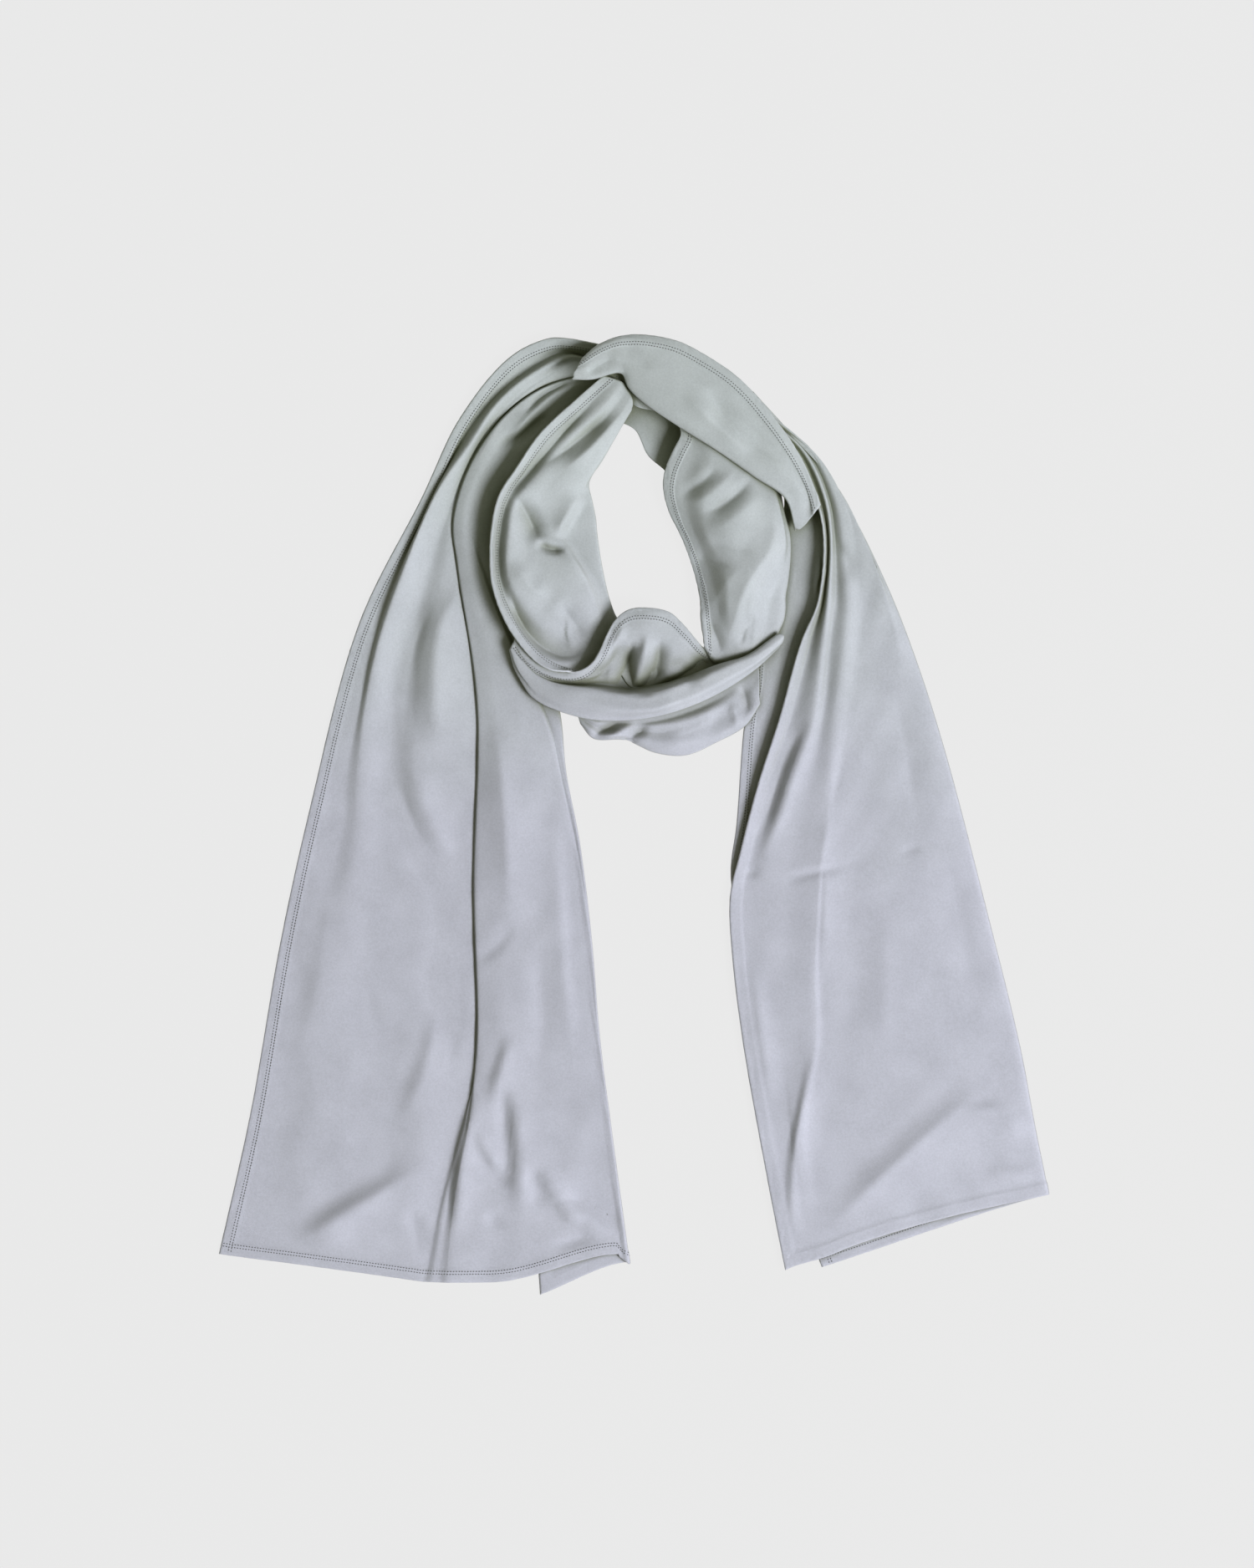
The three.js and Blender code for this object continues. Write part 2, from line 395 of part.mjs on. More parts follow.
// The six knots of a pleat that laps over itself, or a plain rise where its depth is below zero.
function pleatKnots(edge, along, depth, floor) {
  const ease = Math.min(LAP_EASE, Math.max(depth, 0) / 2);
  const offsets = depth > 0
    ? [depth - ease, depth, depth - ease, ease, 0, ease]
    : [depth, depth * 0.8, depth * 0.6, depth * 0.3, 0, -depth * 0.2];
  const layers = [0, 0.5, 1, 1, 1.5, 2];
  return offsets.map((offset, i) => {
    const knot = edge.clone().addScaledVector(along, offset);
    knot.z = floor + layers[i] * LAYER_PITCH;
    return knot;
  });
}

// Knots of one section at a share of the strip's length, and the steps after each of them.
function knotsAt(folds, curves, share) {
  const spots = curves.map((curve) => curve.getPointAt(share));
  const across = spots[spots.length - 1].clone().sub(spots[0]).setZ(0);
  const wide = folds.findIndex((fold) => fold.turn);
  if (wide > 0) across.copy(spots[wide]).sub(spots[0]).setZ(0);
  across.normalize();
  const knots = [];
  const steps = [];
  folds.forEach((fold, i) => {
    const spot = spots[i];
    if (fold.lap) {
      const lap = lapAt(fold.lap, share);
      pleatKnots(spot, across, lap, spot.z).forEach((knot) => {
        knots.push(knot);
        steps.push(1);
      });
    } else if (fold.turn) {
      const before = knots.length ? knots[knots.length - 1] : spots[1];
      const out = spot.clone().sub(before).setZ(0).normalize();
      const ease = Math.abs(fold.turn) * 1.2;
      const back = spot.clone().addScaledVector(out, -ease);
      const sign = knots.length && knots[knots.length - 1].z > spot.z ? 1 : -1;
      knots.push(back.clone().setZ(spot.z + sign * fold.turn), spot, back.clone().setZ(spot.z - sign * fold.turn));
      steps.push(1, 1, fold.steps);
    } else {
      knots.push(spot);
      steps.push(fold.steps);
    }
  });
  return { knots, steps };
}

// Height that the creases add at a point of the cloth.
function creaseRise(creases, point) {
  let rise = 0;
  for (const crease of creases) {
    const [a, b, c] = [crease.from, crease.by, crease.to].map(([x, y]) => placed([x, y, 0]));
    let nearest = Infinity;
    let share = 0;
    for (let i = 0; i <= 12; i += 1) {
      const t = i / 12;
      const x = (1 - t) ** 2 * a.x + 2 * t * (1 - t) * b.x + t * t * c.x;
      const y = (1 - t) ** 2 * a.y + 2 * t * (1 - t) * b.y + t * t * c.y;
      const away = Math.hypot(point.x - x, point.y - y);
      if (away < nearest) [nearest, share] = [away, t];
    }
    const spread = nearest / (crease.half * PLAN_UNIT);
    if (spread < 1) rise += crease.rise * Math.sin(Math.PI * (0.1 + 0.8 * share)) * (1 - spread * spread) ** 2;
  }
  return rise;
}

// The middle surface of a stretch as rows of points, one row for each station along it.
function clothGrid(stretch, creases = []) {
  const curves = stretch.folds.map((fold) => new THREE.CatmullRomCurve3(fold.path.map(placed), false, "centripetal"));
  const rows = [];
  for (let station = 0; station < stretch.stations; station += 1) {
    const { knots, steps } = knotsAt(stretch.folds, curves, station / (stretch.stations - 1));
    const row = section(knots, steps);
    const top = row.map((point) => point.z);
    row.forEach((point, i) => {
      const covered = row.some((other, j) => Math.abs(i - j) > 1 && other.z > top[i] + 1
        && Math.hypot(other.x - point.x, other.y - point.y) < 6);
      if (!covered && top[i] > 0.3) point.z += creaseRise(creases, point);
    });
    rows.push(row);
  }
  return rows;
}

// Unit normals of a grid, from its neighbours on both sides.
function gridNormals(rows) {
  return rows.map((row, j) => row.map((_, i) => {
    const along = rows[Math.min(j + 1, rows.length - 1)][i].clone().sub(rows[Math.max(j - 1, 0)][i]);
    const across = row[Math.min(i + 1, row.length - 1)].clone().sub(row[Math.max(i - 1, 0)]);
    return along.cross(across).normalize();
  }));
}

// A closed body between two grids of the same size, with its four rims joined.
function closedBetween(front, back) {
  const [rows, columns] = [front.length, front[0].length];
  const points = [...front.flat(), ...back.flat()];
  const frontAt = (j, i) => j * columns + i;
  const backAt = (j, i) => rows * columns + j * columns + i;
  const faces = [];
  const quad = (a, b, c, d) => faces.push(a, b, c, a, c, d);
  for (let j = 0; j < rows - 1; j += 1) {
    for (let i = 0; i < columns - 1; i += 1) {
      quad(frontAt(j, i), frontAt(j + 1, i), frontAt(j + 1, i + 1), frontAt(j, i + 1));
      quad(backAt(j, i), backAt(j, i + 1), backAt(j + 1, i + 1), backAt(j + 1, i));
    }
    quad(frontAt(j, 0), backAt(j, 0), backAt(j + 1, 0), frontAt(j + 1, 0));
    quad(frontAt(j + 1, columns - 1), backAt(j + 1, columns - 1), backAt(j, columns - 1), frontAt(j, columns - 1));
  }
  for (let i = 0; i < columns - 1; i += 1) {
    quad(frontAt(0, i + 1), backAt(0, i + 1), backAt(0, i), frontAt(0, i));
    quad(frontAt(rows - 1, i), backAt(rows - 1, i), backAt(rows - 1, i + 1), frontAt(rows - 1, i + 1));
  }
  const geometry = new THREE.BufferGeometry();
  geometry.setAttribute("position", new THREE.Float32BufferAttribute(points.flatMap((p) => p.toArray()), 3));
  geometry.setIndex(faces);
  geometry.computeVertexNormals();
  return geometry;
}

// Points moved off a grid along its normals, and never below the surface that the scarf lies on.
function shifted(rows, normals, distance) {
  return rows.map((row, j) => row.map((point, i) => {
    const moved = point.clone().addScaledVector(normals[j][i], distance);
    moved.z = Math.max(moved.z, 0);
    return moved;
  }));
}

// A stretch of cloth as a closed wall round its middle surface.
function clothWall(rows) {
  const normals = gridNormals(rows);
  return closedBetween(shifted(rows, normals, WALL / 2), shifted(rows, normals, -WALL / 2));
}

// The folded layers inside a stretch, as one solid under its upper cloth and over a floor height.
function hiddenFolds(rows, inside) {
  const normals = gridNormals(rows);
  const middle = normals[Math.floor(rows.length / 2)][Math.floor((inside.firstColumn + inside.lastColumn) / 2)];
  const up = Math.sign(middle.z);
  const lift = -up * (WALL / 2 + FILL_GAP);
  const firstRow = Math.round(inside.from * (rows.length - 1));
  const lastRow = Math.round(inside.to * (rows.length - 1));
  const crown = [];
  const base = [];
  for (let j = firstRow; j <= lastRow; j += 1) {
    const [top, bottom] = [[], []];
    for (let i = inside.firstColumn; i <= inside.lastColumn; i += 1) {
      const point = rows[j][i].clone().addScaledVector(normals[j][i], lift);
      const floor = inside.floorColumn ? rows[j][inside.floorColumn].z + WALL / 2 + FILL_GAP : inside.floor;
      top.push(point);
      bottom.push(point.clone().setZ(Math.min(floor, point.z - 0.8)));
    }
    crown.push(top);
    base.push(bottom);
  }
  return up > 0 ? closedBetween(crown, base) : closedBetween(base, crown);
}

// Names each mesh and gives it the colour of its stretch.
const group = new THREE.Group();

function addPiece(name, geometry, colour) {
  const material = new THREE.MeshStandardMaterial({ color: colour, roughness: 0.75, metalness: 0 });
  const mesh = new THREE.Mesh(geometry, material);
  mesh.name = name;
  group.add(mesh);
}

const stretches = [
  { name: "left_tail", table: LEFT_TAIL, creases: LEFT_TAIL_CREASES, colour: LILAC_GREY },
  { name: "neck_back", table: NECK_BACK, creases: [], colour: SAGE_GREY,
    inside: { from: 0.1, to: 0.9, firstColumn: 1, lastColumn: 3, floor: 2.4 } },
  { name: "loop_right", table: LOOP_RIGHT, creases: LOOP_RIGHT_CREASES, colour: SAGE_GREY,
    inside: { from: 0.12, to: 0.86, firstColumn: 1, lastColumn: 8, floor: 5 } },
  { name: "loop_front", table: LOOP_FRONT, creases: LOOP_FRONT_CREASES, colour: SAGE_GREY,
    inside: { from: 0.14, to: 0.48, firstColumn: 1, lastColumn: 5, floor: 4.4 } },
  { name: "front_underfold", table: FRONT_UNDERFOLD, creases: [], colour: SAGE_GREY },
  { name: "loop_left", table: LOOP_LEFT, creases: LOOP_LEFT_CREASES, colour: SAGE_GREY,
    inside: { from: 0.12, to: 0.76, firstColumn: 1, lastColumn: 5, floor: 8 } },
  { name: "neck_band", table: NECK_BAND, creases: [], colour: SAGE_GREY,
    inside: { from: 0.12, to: 0.9, firstColumn: 5, lastColumn: 9, floorColumn: 1 } },
  { name: "right_tail", table: RIGHT_TAIL, creases: RIGHT_TAIL_CREASES, colour: LILAC_GREY },
];

for (const stretch of stretches) {
  const rows = clothGrid(stretch.table, stretch.creases);
  addPiece(stretch.name, clothWall(rows), stretch.colour);
  if (stretch.inside) addPiece(stretch.name + "_folds", hiddenFolds(rows, stretch.inside), stretch.colour);
}

export default group;
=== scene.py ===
# A long stretch scarf, wound once round the neck opening and laid flat with both tails down.
# Metres, +Z up. The scarf lies on z = 0, as its solids do.

import math
import bpy
import numpy as np
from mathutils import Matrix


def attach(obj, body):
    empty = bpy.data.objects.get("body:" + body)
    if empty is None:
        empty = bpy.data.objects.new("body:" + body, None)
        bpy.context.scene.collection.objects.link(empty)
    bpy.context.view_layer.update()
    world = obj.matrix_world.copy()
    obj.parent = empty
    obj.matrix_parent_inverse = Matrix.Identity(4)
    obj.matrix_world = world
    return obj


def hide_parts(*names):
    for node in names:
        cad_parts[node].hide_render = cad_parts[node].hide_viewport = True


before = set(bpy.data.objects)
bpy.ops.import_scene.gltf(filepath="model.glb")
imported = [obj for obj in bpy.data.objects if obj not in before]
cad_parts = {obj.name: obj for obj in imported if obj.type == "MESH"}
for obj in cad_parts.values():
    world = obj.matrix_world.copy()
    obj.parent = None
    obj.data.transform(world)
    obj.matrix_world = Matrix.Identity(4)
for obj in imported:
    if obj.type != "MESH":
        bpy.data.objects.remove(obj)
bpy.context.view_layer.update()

# Left tail
# The first end of the strip, a fine knitted jersey with turned hems along both sides and its end.
# It lies on the surface, loosely pleated along its length, with its right side folded under.
# The plan is drawn in units of one 608th of the cloth's width, x to the right and y down.

MM = 0.001
CLOTH_WIDTH = 395 * MM
PLAN_UNIT = CLOTH_WIDTH / 608
PLAN_CENTRE = (757, 976)
LAYER_PITCH = 1.8 * MM
LAP_EASE = 3.2 * MM
CLOTH = 1.0 * MM
HEM_DEPTH = 9.6 * MM
HEM_CLOTH = 1.9 * MM
STITCH_PITCH = 2.2 * MM
STITCH_ROWS = (6.6 * MM, 8.8 * MM)
SPACING = {"broad": (2.9 * MM, 2.4 * MM), "small": (1.5 * MM, 1.3 * MM)}
CREST = 1.0 * MM

LEFT_TAIL = {
    "folds": [
      {"name": "hem", "path": [
        [720, 414, 12], [700, 410, 12], [676, 406, 11], [655, 406, 8], [610, 428, 6], [550, 501, 5],
        [505, 595, 4], [430, 745, 2.4], [370, 970, 0.6], [335, 1130, 0.6], [300, 1330, 0.6],
        [262, 1500, 0.6]]},
      {"name": "rim", "path": [
        [721, 421, 8], [700, 416, 8], [680, 413, 8], [664, 412, 7], [619, 433, 4.4], [560, 507, 3.4],
        [515, 599, 3], [441, 749, 2], [381, 972, 0.6], [346, 1132, 0.6], [311, 1332, 0.6],
        [275, 1502, 0.6]]},
      {"name": "outer trough", "path": [
        [721, 432, 2.5], [692, 425, 2], [670, 422, 1.6], [620, 451, 1.2], [573, 497, 1], [541, 547, 1],
        [503, 625, 1.6], [452, 752, 2], [404, 972, 0.6], [368, 1132, 0.6], [332, 1335, 0.6],
        [297, 1505, 0.6]]},
      {"name": "long crest", "path": [
        [721, 439, 6], [700, 430, 7], [683, 427, 8], [633, 451, 8], [593, 486, 8], [562, 533, 8.5],
        [523, 590, 9], [481, 689, 9], [453, 772, 7], [436, 860, 4.5], [426, 990, 2.4], [408, 1150, 2],
        [384, 1340, 2.2], [352, 1512, 0.8]]},
      {"name": "long trough", "path": [
        [720, 446, 2], [689, 435, 1.6], [640, 461, 1.2], [598, 497, 0.9], [563, 549, 0.8],
        [540, 604, 0.6], [520, 664, 0.6], [497, 742, 0.6], [479, 800, 0.6], [468, 900, 0.6],
        [462, 1000, 1.2], [470, 1140, 1.4], [462, 1340, 1.2], [440, 1524, 0.6]]},
      {"name": "middle rise", "path": [
        [721, 449, 0.6], [690, 443, 0.6], [643, 464, 0.6], [601, 497, 0.6], [567, 545, 0.6],
        [541, 609, 0.6], [532, 690, 2.2], [512, 770, 5.5], [503, 840, 5], [497, 920, 3.4],
        [505, 1010, 2.4], [515, 1140, 1.6], [510, 1300, 2.8], [500, 1400, 3], [490, 1531, 0.6]]},
      {"name": "pleat", "lap": [10, 14, 18, 22, 24, 24, 24, 22, 16, -4, -14, -22], "path": [
        [722, 455, 0.6], [683, 453, 0.6], [626, 479, 0.6], [571, 541, 0.6], [543, 620, 0.6],
        [548, 679, 0.6], [571, 842, 0.6], [567, 1060, 0.6], [571, 1240, 0.6], [562, 1335, 0.6],
        [543, 1430, 0.6], [530, 1534, 0.6]]},
      {"name": "pleat swell", "path": [
        [722, 466, 5.2], [690, 462, 5.4], [634, 489, 5.4], [583, 548, 5.2], [556, 620, 5.2],
        [566, 690, 6], [594, 820, 6.4], [600, 940, 6], [603, 1060, 5.6], [606, 1240, 6], [600, 1340, 5],
        [590, 1430, 5], [585, 1534, 2.4]]},
      {"name": "step", "path": [
        [722, 474, 4.6], [694, 470, 4.6], [640, 500, 4.6], [592, 560, 4.4], [564, 625, 4.6],
        [578, 690, 6], [622, 797, 6.8], [652, 862, 6.4], [668, 925, 5.2], [684, 1010, 4.4],
        [698, 1120, 4.2], [708, 1240, 4.2], [722, 1350, 4.2], [738, 1500, 3.4]]},
      {"name": "step foot", "path": [
        [722, 478, 4.2], [697, 475, 4.2], [645, 505, 4.2], [598, 566, 4.2], [569, 628, 4.2],
        [583, 692, 4.2], [627, 799, 4.2], [656, 864, 4.2], [671, 926, 4.2], [687, 1011, 4.2],
        [701, 1120, 4.2], [711, 1240, 4.2], [725, 1350, 4.2], [742, 1504, 3.2]]},
      {"name": "right fold", "turn": 1.8, "path": [
        [722, 494, 2.4], [702, 498, 2.4], [668, 524, 2.4], [637, 570, 2.4], [622, 628, 2.4],
        [630, 700, 2.4], [650, 785, 2.4], [669, 850, 2.4], [677, 925, 2.4], [693, 1008, 2.4],
        [707, 1120, 2.4], [717, 1240, 2.4], [731, 1350, 2.4], [753, 1512, 2.4]]},
      {"name": "underlap", "path": [
        [722, 484, 0.6], [700, 486, 0.6], [660, 514, 0.6], [620, 566, 0.6], [600, 628, 0.6],
        [606, 700, 0.6], [612, 785, 0.6], [616, 850, 0.6], [618, 925, 0.6], [620, 1008, 0.6],
        [622, 1120, 0.6], [627, 1240, 0.6], [633, 1350, 0.6], [646, 1549, 0.6]]},
    ],
}

# Creases: their line on the plan, their height in mm, and their half widths left and right of it.
LEFT_TAIL_CREASES = [
    ([(552, 900), (556, 1000), (552, 1120), (542, 1240), (530, 1330)], -3.8, (16, 90)),
    ([(694, 440), (657, 452), (612, 486), (580, 536), (562, 570)], 2.8, (13, 16)),
    ([(690, 452), (655, 470), (622, 500)], -3.6, (8, 8)),
    ([(688, 458), (660, 474), (632, 500), (604, 540)], 2.2, (10, 9)),
    ([(664, 490), (645, 505), (622, 522), (590, 536)], -4.8, (13, 10)),
    ([(668, 500), (652, 540), (634, 572), (622, 600)], -4.1, (8, 18)),
    ([(620, 560), (604, 590), (590, 628), (586, 680)], -3.4, (18, 21)),
    ([(568, 690), (548, 712), (529, 742), (521, 785), (520, 845), (526, 910)], 4.4, (47, 20)),
    ([(520, 722), (500, 762), (494, 830), (498, 905)], -1.9, (16, 44)),
    ([(456, 912), (468, 936), (482, 968), (498, 1008), (522, 1042), (556, 1058)], -3.6, (16, 36)),
    ([(482, 905), (500, 940), (514, 980), (536, 1016), (566, 1030)], 2.5, (29, 18)),
    ([(592, 862), (601, 930), (606, 1000), (608, 1060), (609, 1112)], 4.4, (57, 34)),
    ([(614, 1100), (597, 1130), (562, 1156)], -1.5, (12, 22)),
    ([(614, 1232), (607, 1256), (600, 1278), (594, 1300), (590, 1328)], 3.4, (31, 13)),
    ([(574, 1306), (563, 1340), (555, 1370), (551, 1400), (546, 1450), (539, 1490)], 4.7, (36, 10)),
    ([(504, 1396), (478, 1412), (452, 1428), (425, 1444), (395, 1462), (350, 1492)], 6.1, (60, 22)),
    ([(524, 1200), (514, 1256), (500, 1300), (478, 1345)], 2.6, (36, 20)),
    ([(440, 1170), (446, 1215), (470, 1240), (496, 1252)], -2.2, (21, 26)),
    ([(612, 1290), (618, 1340), (621, 1390), (622, 1440), (616, 1468)], 4.1, (49, 17)),
    ([(600, 1290), (606, 1340), (609, 1390), (609, 1436)], -3.0, (10, 18)),
    ([(572, 1350), (584, 1376), (602, 1395)], 2.5, (10, 12)),
    ([(564, 1380), (588, 1402), (612, 1422)], -2.5, (12, 13)),
    ([(488, 1440), (500, 1470), (512, 1506)], -2.4, (17, 18)),
    ([(586, 1448), (596, 1472)], -1.9, (13, 13)),
    ([(634, 1392), (640, 1420), (646, 1450)], -3.0, (13, 13)),
    ([(640, 1388), (656, 1410), (674, 1440), (697, 1478)], 3.6, (17, 13)),
    ([(664, 1428), (702, 1440), (729, 1458), (750, 1480)], -4.1, (44, 12)),
    ([(672, 1446), (700, 1460), (722, 1482)], 2.2, (12, 12)),
    ([(655, 1492), (690, 1484), (715, 1474)], -1.7, (10, 10)),
    ([(396, 1000), (392, 1090), (378, 1190), (352, 1290)], 2.0, (55, 39)),
    ([(340, 1330), (322, 1380), (306, 1450)], -1.7, (26, 26)),
    ([(420, 905), (404, 1010), (384, 1120)], -1.6, (23, 31)),
    ([(660, 960), (668, 1060), (676, 1180), (690, 1300)], 1.7, (13, 29)),
    ([(640, 1120), (648, 1220), (640, 1310)], -1.7, (26, 23)),
]


def placed(path):
    """Plan points with heights in mm, or flat ones, as metres in the row's frame."""
    points = np.array([list(point) + [0] * (3 - len(point)) for point in path], float)
    out = np.empty_like(points)
    out[:, 0] = (points[:, 0] - PLAN_CENTRE[0]) * PLAN_UNIT
    out[:, 1] = (PLAN_CENTRE[1] - points[:, 1]) * PLAN_UNIT
    out[:, 2] = points[:, 2] * MM
    return out


def hermite(start, end, leave, arrive, t):
    """Points on a cubic from start to end, with its slopes at both ends."""
    rise = 3 * t ** 2 - 2 * t ** 3
    return start + (end - start) * rise + leave * t * (1 - t) ** 2 - arrive * t ** 2 * (1 - t)


def curve_at(path, shares):
    """Points at shares of the length of a centripetal curve through the plan points."""
    p = placed(path)
    p = np.vstack([2 * p[0] - p[1], p, 2 * p[-1] - p[-2]])
    gap = np.linalg.norm(np.diff(p, axis=0), axis=1) ** 0.5
    t = np.linspace(0, 1, 25)[:, None]
    runs = []
    for i in range(1, len(p) - 2):
        a, b, c = gap[i - 1], gap[i], gap[i + 1]
        leave = ((p[i] - p[i - 1]) / a - (p[i + 1] - p[i - 1]) / (a + b)) * b + p[i + 1] - p[i]
        arrive = ((p[i + 2] - p[i + 1]) / c - (p[i + 2] - p[i]) / (b + c)) * b + p[i + 1] - p[i]
        runs.append(hermite(p[i], p[i + 1], leave, arrive, t))
    points = np.vstack(runs)
    length = np.concatenate([[0], np.cumsum(np.linalg.norm(np.diff(points, axis=0), axis=1))])
    along = np.asarray(shares) * length[-1]
    return np.stack([np.interp(along, length, points[:, k]) for k in range(3)], axis=1)


def unit(vectors):
    """The same vectors at length one."""
    return vectors / np.maximum(np.linalg.norm(vectors, axis=-1, keepdims=True), 1e-12)


def flat_unit(vectors):
    """The same vectors laid level, at length one."""
    return unit(vectors * np.array([1, 1, 0]))


def knots_of(folds, shares):
    """Knots of every section across a stretch, as one array for each knot."""
    spots = [curve_at(fold["path"], shares) for fold in folds]
    wide = next((i for i, fold in enumerate(folds) if "turn" in fold), 0) or len(folds) - 1
    across = flat_unit(spots[wide] - spots[0])
    knots = []
    for fold, spot in zip(folds, spots):
        if "lap" in fold:
            lap = np.array(fold["lap"]) * PLAN_UNIT
            depth = np.interp(shares, np.linspace(0, 1, len(lap)), lap)
            ease = np.minimum(LAP_EASE, np.maximum(depth, 0) / 2)
            folded = [depth - ease, depth, depth - ease, ease, 0 * depth, ease]
            opened = [depth, depth * 0.8, depth * 0.6, depth * 0.3, 0 * depth, -depth * 0.2]
            for over, plain, layer in zip(folded, opened, (0, 0.5, 1, 1, 1.5, 2)):
                offset = np.where(depth > 0, over, plain)
                knot = spot + across * offset[:, None]
                knot[:, 2] = spot[:, 2] + layer * LAYER_PITCH
                knots.append(knot)
        elif "turn" in fold:
            before = knots[-1] if knots else spots[1]
            turn = fold["turn"] * MM
            back = spot - flat_unit(spot - before) * turn * 1.2
            sign = np.where(before[:, 2] > spot[:, 2], 1, -1)
            for step in (1, 0, -1):
                knot = (spot if step == 0 else back).copy()
                knot[:, 2] = spot[:, 2] + step * sign * turn
                knots.append(knot)
        else:
            knots.append(spot)
    return np.stack(knots, axis=1)


def sections(knots, spacing, first_fine, last_fine):
    """A grid of points through the knots of every section, with columns about one spacing apart."""
    gaps = np.maximum(np.linalg.norm(np.diff(knots, axis=1), axis=2), 0.05 * MM)
    secants = np.diff(knots, axis=1) / gaps[:, :, None]
    slopes = np.zeros_like(knots)
    slopes[:, 0] = secants[:, 0]
    slopes[:, -1] = secants[:, -1]
    before, after = gaps[:, :-1, None], gaps[:, 1:, None]
    early, late = 2 * after + before, after + 2 * before
    one, two = secants[:, :-1], secants[:, 1:]
    same = one * two > 0
    safe_one, safe_two = np.where(same, one, 1), np.where(same, two, 1)
    slopes[:, 1:-1] = np.where(same, (early + late) / (early / safe_one + late / safe_two), 0)
    columns = []
    last = gaps.shape[1] - 1
    for i in range(last + 1):
        fine = 0.5 if (i == 0 and first_fine) or (i == last and last_fine) else 1
        count = max(2, math.ceil(gaps[:, i].mean() / (spacing * fine)))
        span = gaps[:, i, None]
        for step in range(count):
            leave, arrive = slopes[:, i] * span, slopes[:, i + 1] * span
            columns.append(hermite(knots[:, i], knots[:, i + 1], leave, arrive, step / count))
    columns.append(knots[:, -1])
    return np.stack(columns, axis=1)


def normals_of(grid):
    """Unit normals of a grid, on the side that faces up where the cloth lies on top."""
    along = np.gradient(grid, axis=0)
    across = np.gradient(grid, axis=1)
    return unit(np.cross(along, across))


def running_length(grid, axis):
    """Distance along the cloth from its first row or column."""
    steps = np.linalg.norm(np.diff(grid, axis=axis), axis=2)
    total = np.cumsum(steps, axis=axis)
    zero = np.zeros((1, grid.shape[1])) if axis == 0 else np.zeros((grid.shape[0], 1))
    return np.concatenate([zero, total], axis=axis)


def softened(values, passes):
    """A grid of values, averaged with their neighbours."""
    for _ in range(passes):
        padded = np.pad(values, 1, mode="edge")
        values = (padded[:-2, 1:-1] + padded[2:, 1:-1] + padded[1:-1, :-2] + padded[1:-1, 2:]
                  + 2 * padded[1:-1, 1:-1]) / 6
    return values


def open_share(grid):
    """One where the cloth lies on top, falling to nothing where another layer covers it."""
    reach, apart = 2.2 * MM, 0.9 * MM
    across = running_length(grid, 1)
    shares = np.ones(grid.shape[:2])
    for j, row in enumerate(grid):
        level = np.hypot(row[:, None, 0] - row[None, :, 0], row[:, None, 1] - row[None, :, 1])
        higher = row[None, :, 2] - row[:, None, 2] > apart
        other = np.abs(across[j][:, None] - across[j][None, :]) > 2.2 * reach
        shares[j] = ~np.any((level < reach) & higher & other, axis=1)
    return softened(shares, 3) * shares


def crease_rise(grid, creases):
    """Height that a table of creases adds at each point of a grid."""
    rise = np.zeros(grid.shape[:2])
    for path, height, (left, right) in creases:
        line = curve_at(path, np.linspace(0, 1, 28))[:, :2]
        reach = max(left, right) * PLAN_UNIT
        low, high = line.min(axis=0) - reach, line.max(axis=0) + reach
        near = np.all((grid[:, :, :2] > low) & (grid[:, :, :2] < high), axis=2)
        if not near.any():
            continue
        point = grid[near][:, :2]
        start, run = line[:-1], np.diff(line, axis=0)
        square = (run ** 2).sum(axis=1)
        t = ((point[:, None] - start) * run).sum(axis=2) / square
        t = np.clip(t, 0, 1)
        away = point[:, None] - (start + t[:, :, None] * run)
        distance = np.hypot(away[:, :, 0], away[:, :, 1])
        nearest = distance.argmin(axis=1)
        rows = np.arange(len(point))
        away, distance = away[rows, nearest], distance[rows, nearest]
        share = (nearest + t[rows, nearest]) / len(run)
        side = run[nearest, 0] * away[:, 1] - run[nearest, 1] * away[:, 0]
        half = np.where(side > 0, left, right) * PLAN_UNIT
        rounded = np.hypot(distance, CREST) - CREST
        spread = np.clip(1 - rounded / half, 0, 1) ** 1.8
        fade = np.clip(np.minimum(share, 1 - share) / 0.36, 0, 1)
        rise[near] += height * MM * spread * fade * fade * (3 - 2 * fade)
    return rise


def waves(u, v, sizes, seed):
    """A smooth uneven field over the cloth, from a few sums of seeded waves."""
    rng = np.random.default_rng(seed)
    field = np.zeros_like(u)
    for _ in range(14):
        along, across = rng.uniform(0.6, 1.6, 2) * 2 * math.pi / np.array(sizes)
        turn, start = rng.uniform(-0.5, 0.5), rng.uniform(0, 2 * math.pi)
        field += np.sin(along * (u + turn * v) + start) * np.cos(across * (v - turn * u) + 2 * start)
    return field / 14 ** 0.5


def row_shares(length, spacing, ends):
    """Shares of a stretch's length for its rows, closer together at a turned hem."""
    close = np.array([0, 0.7, 1.7, 3, 4.6, 6.2, 7.6, 8.6, 9.4, 10.4]) * MM
    low = close if "start" in ends else close[:1]
    high = close if "end" in ends else close[:1]
    inner = length - low[-1] - high[-1]
    middle = low[-1] + np.linspace(0, inner, max(2, round(inner / spacing)) + 1)
    return np.concatenate([low[:-1], middle, length - high[::-1][1:]]) / length


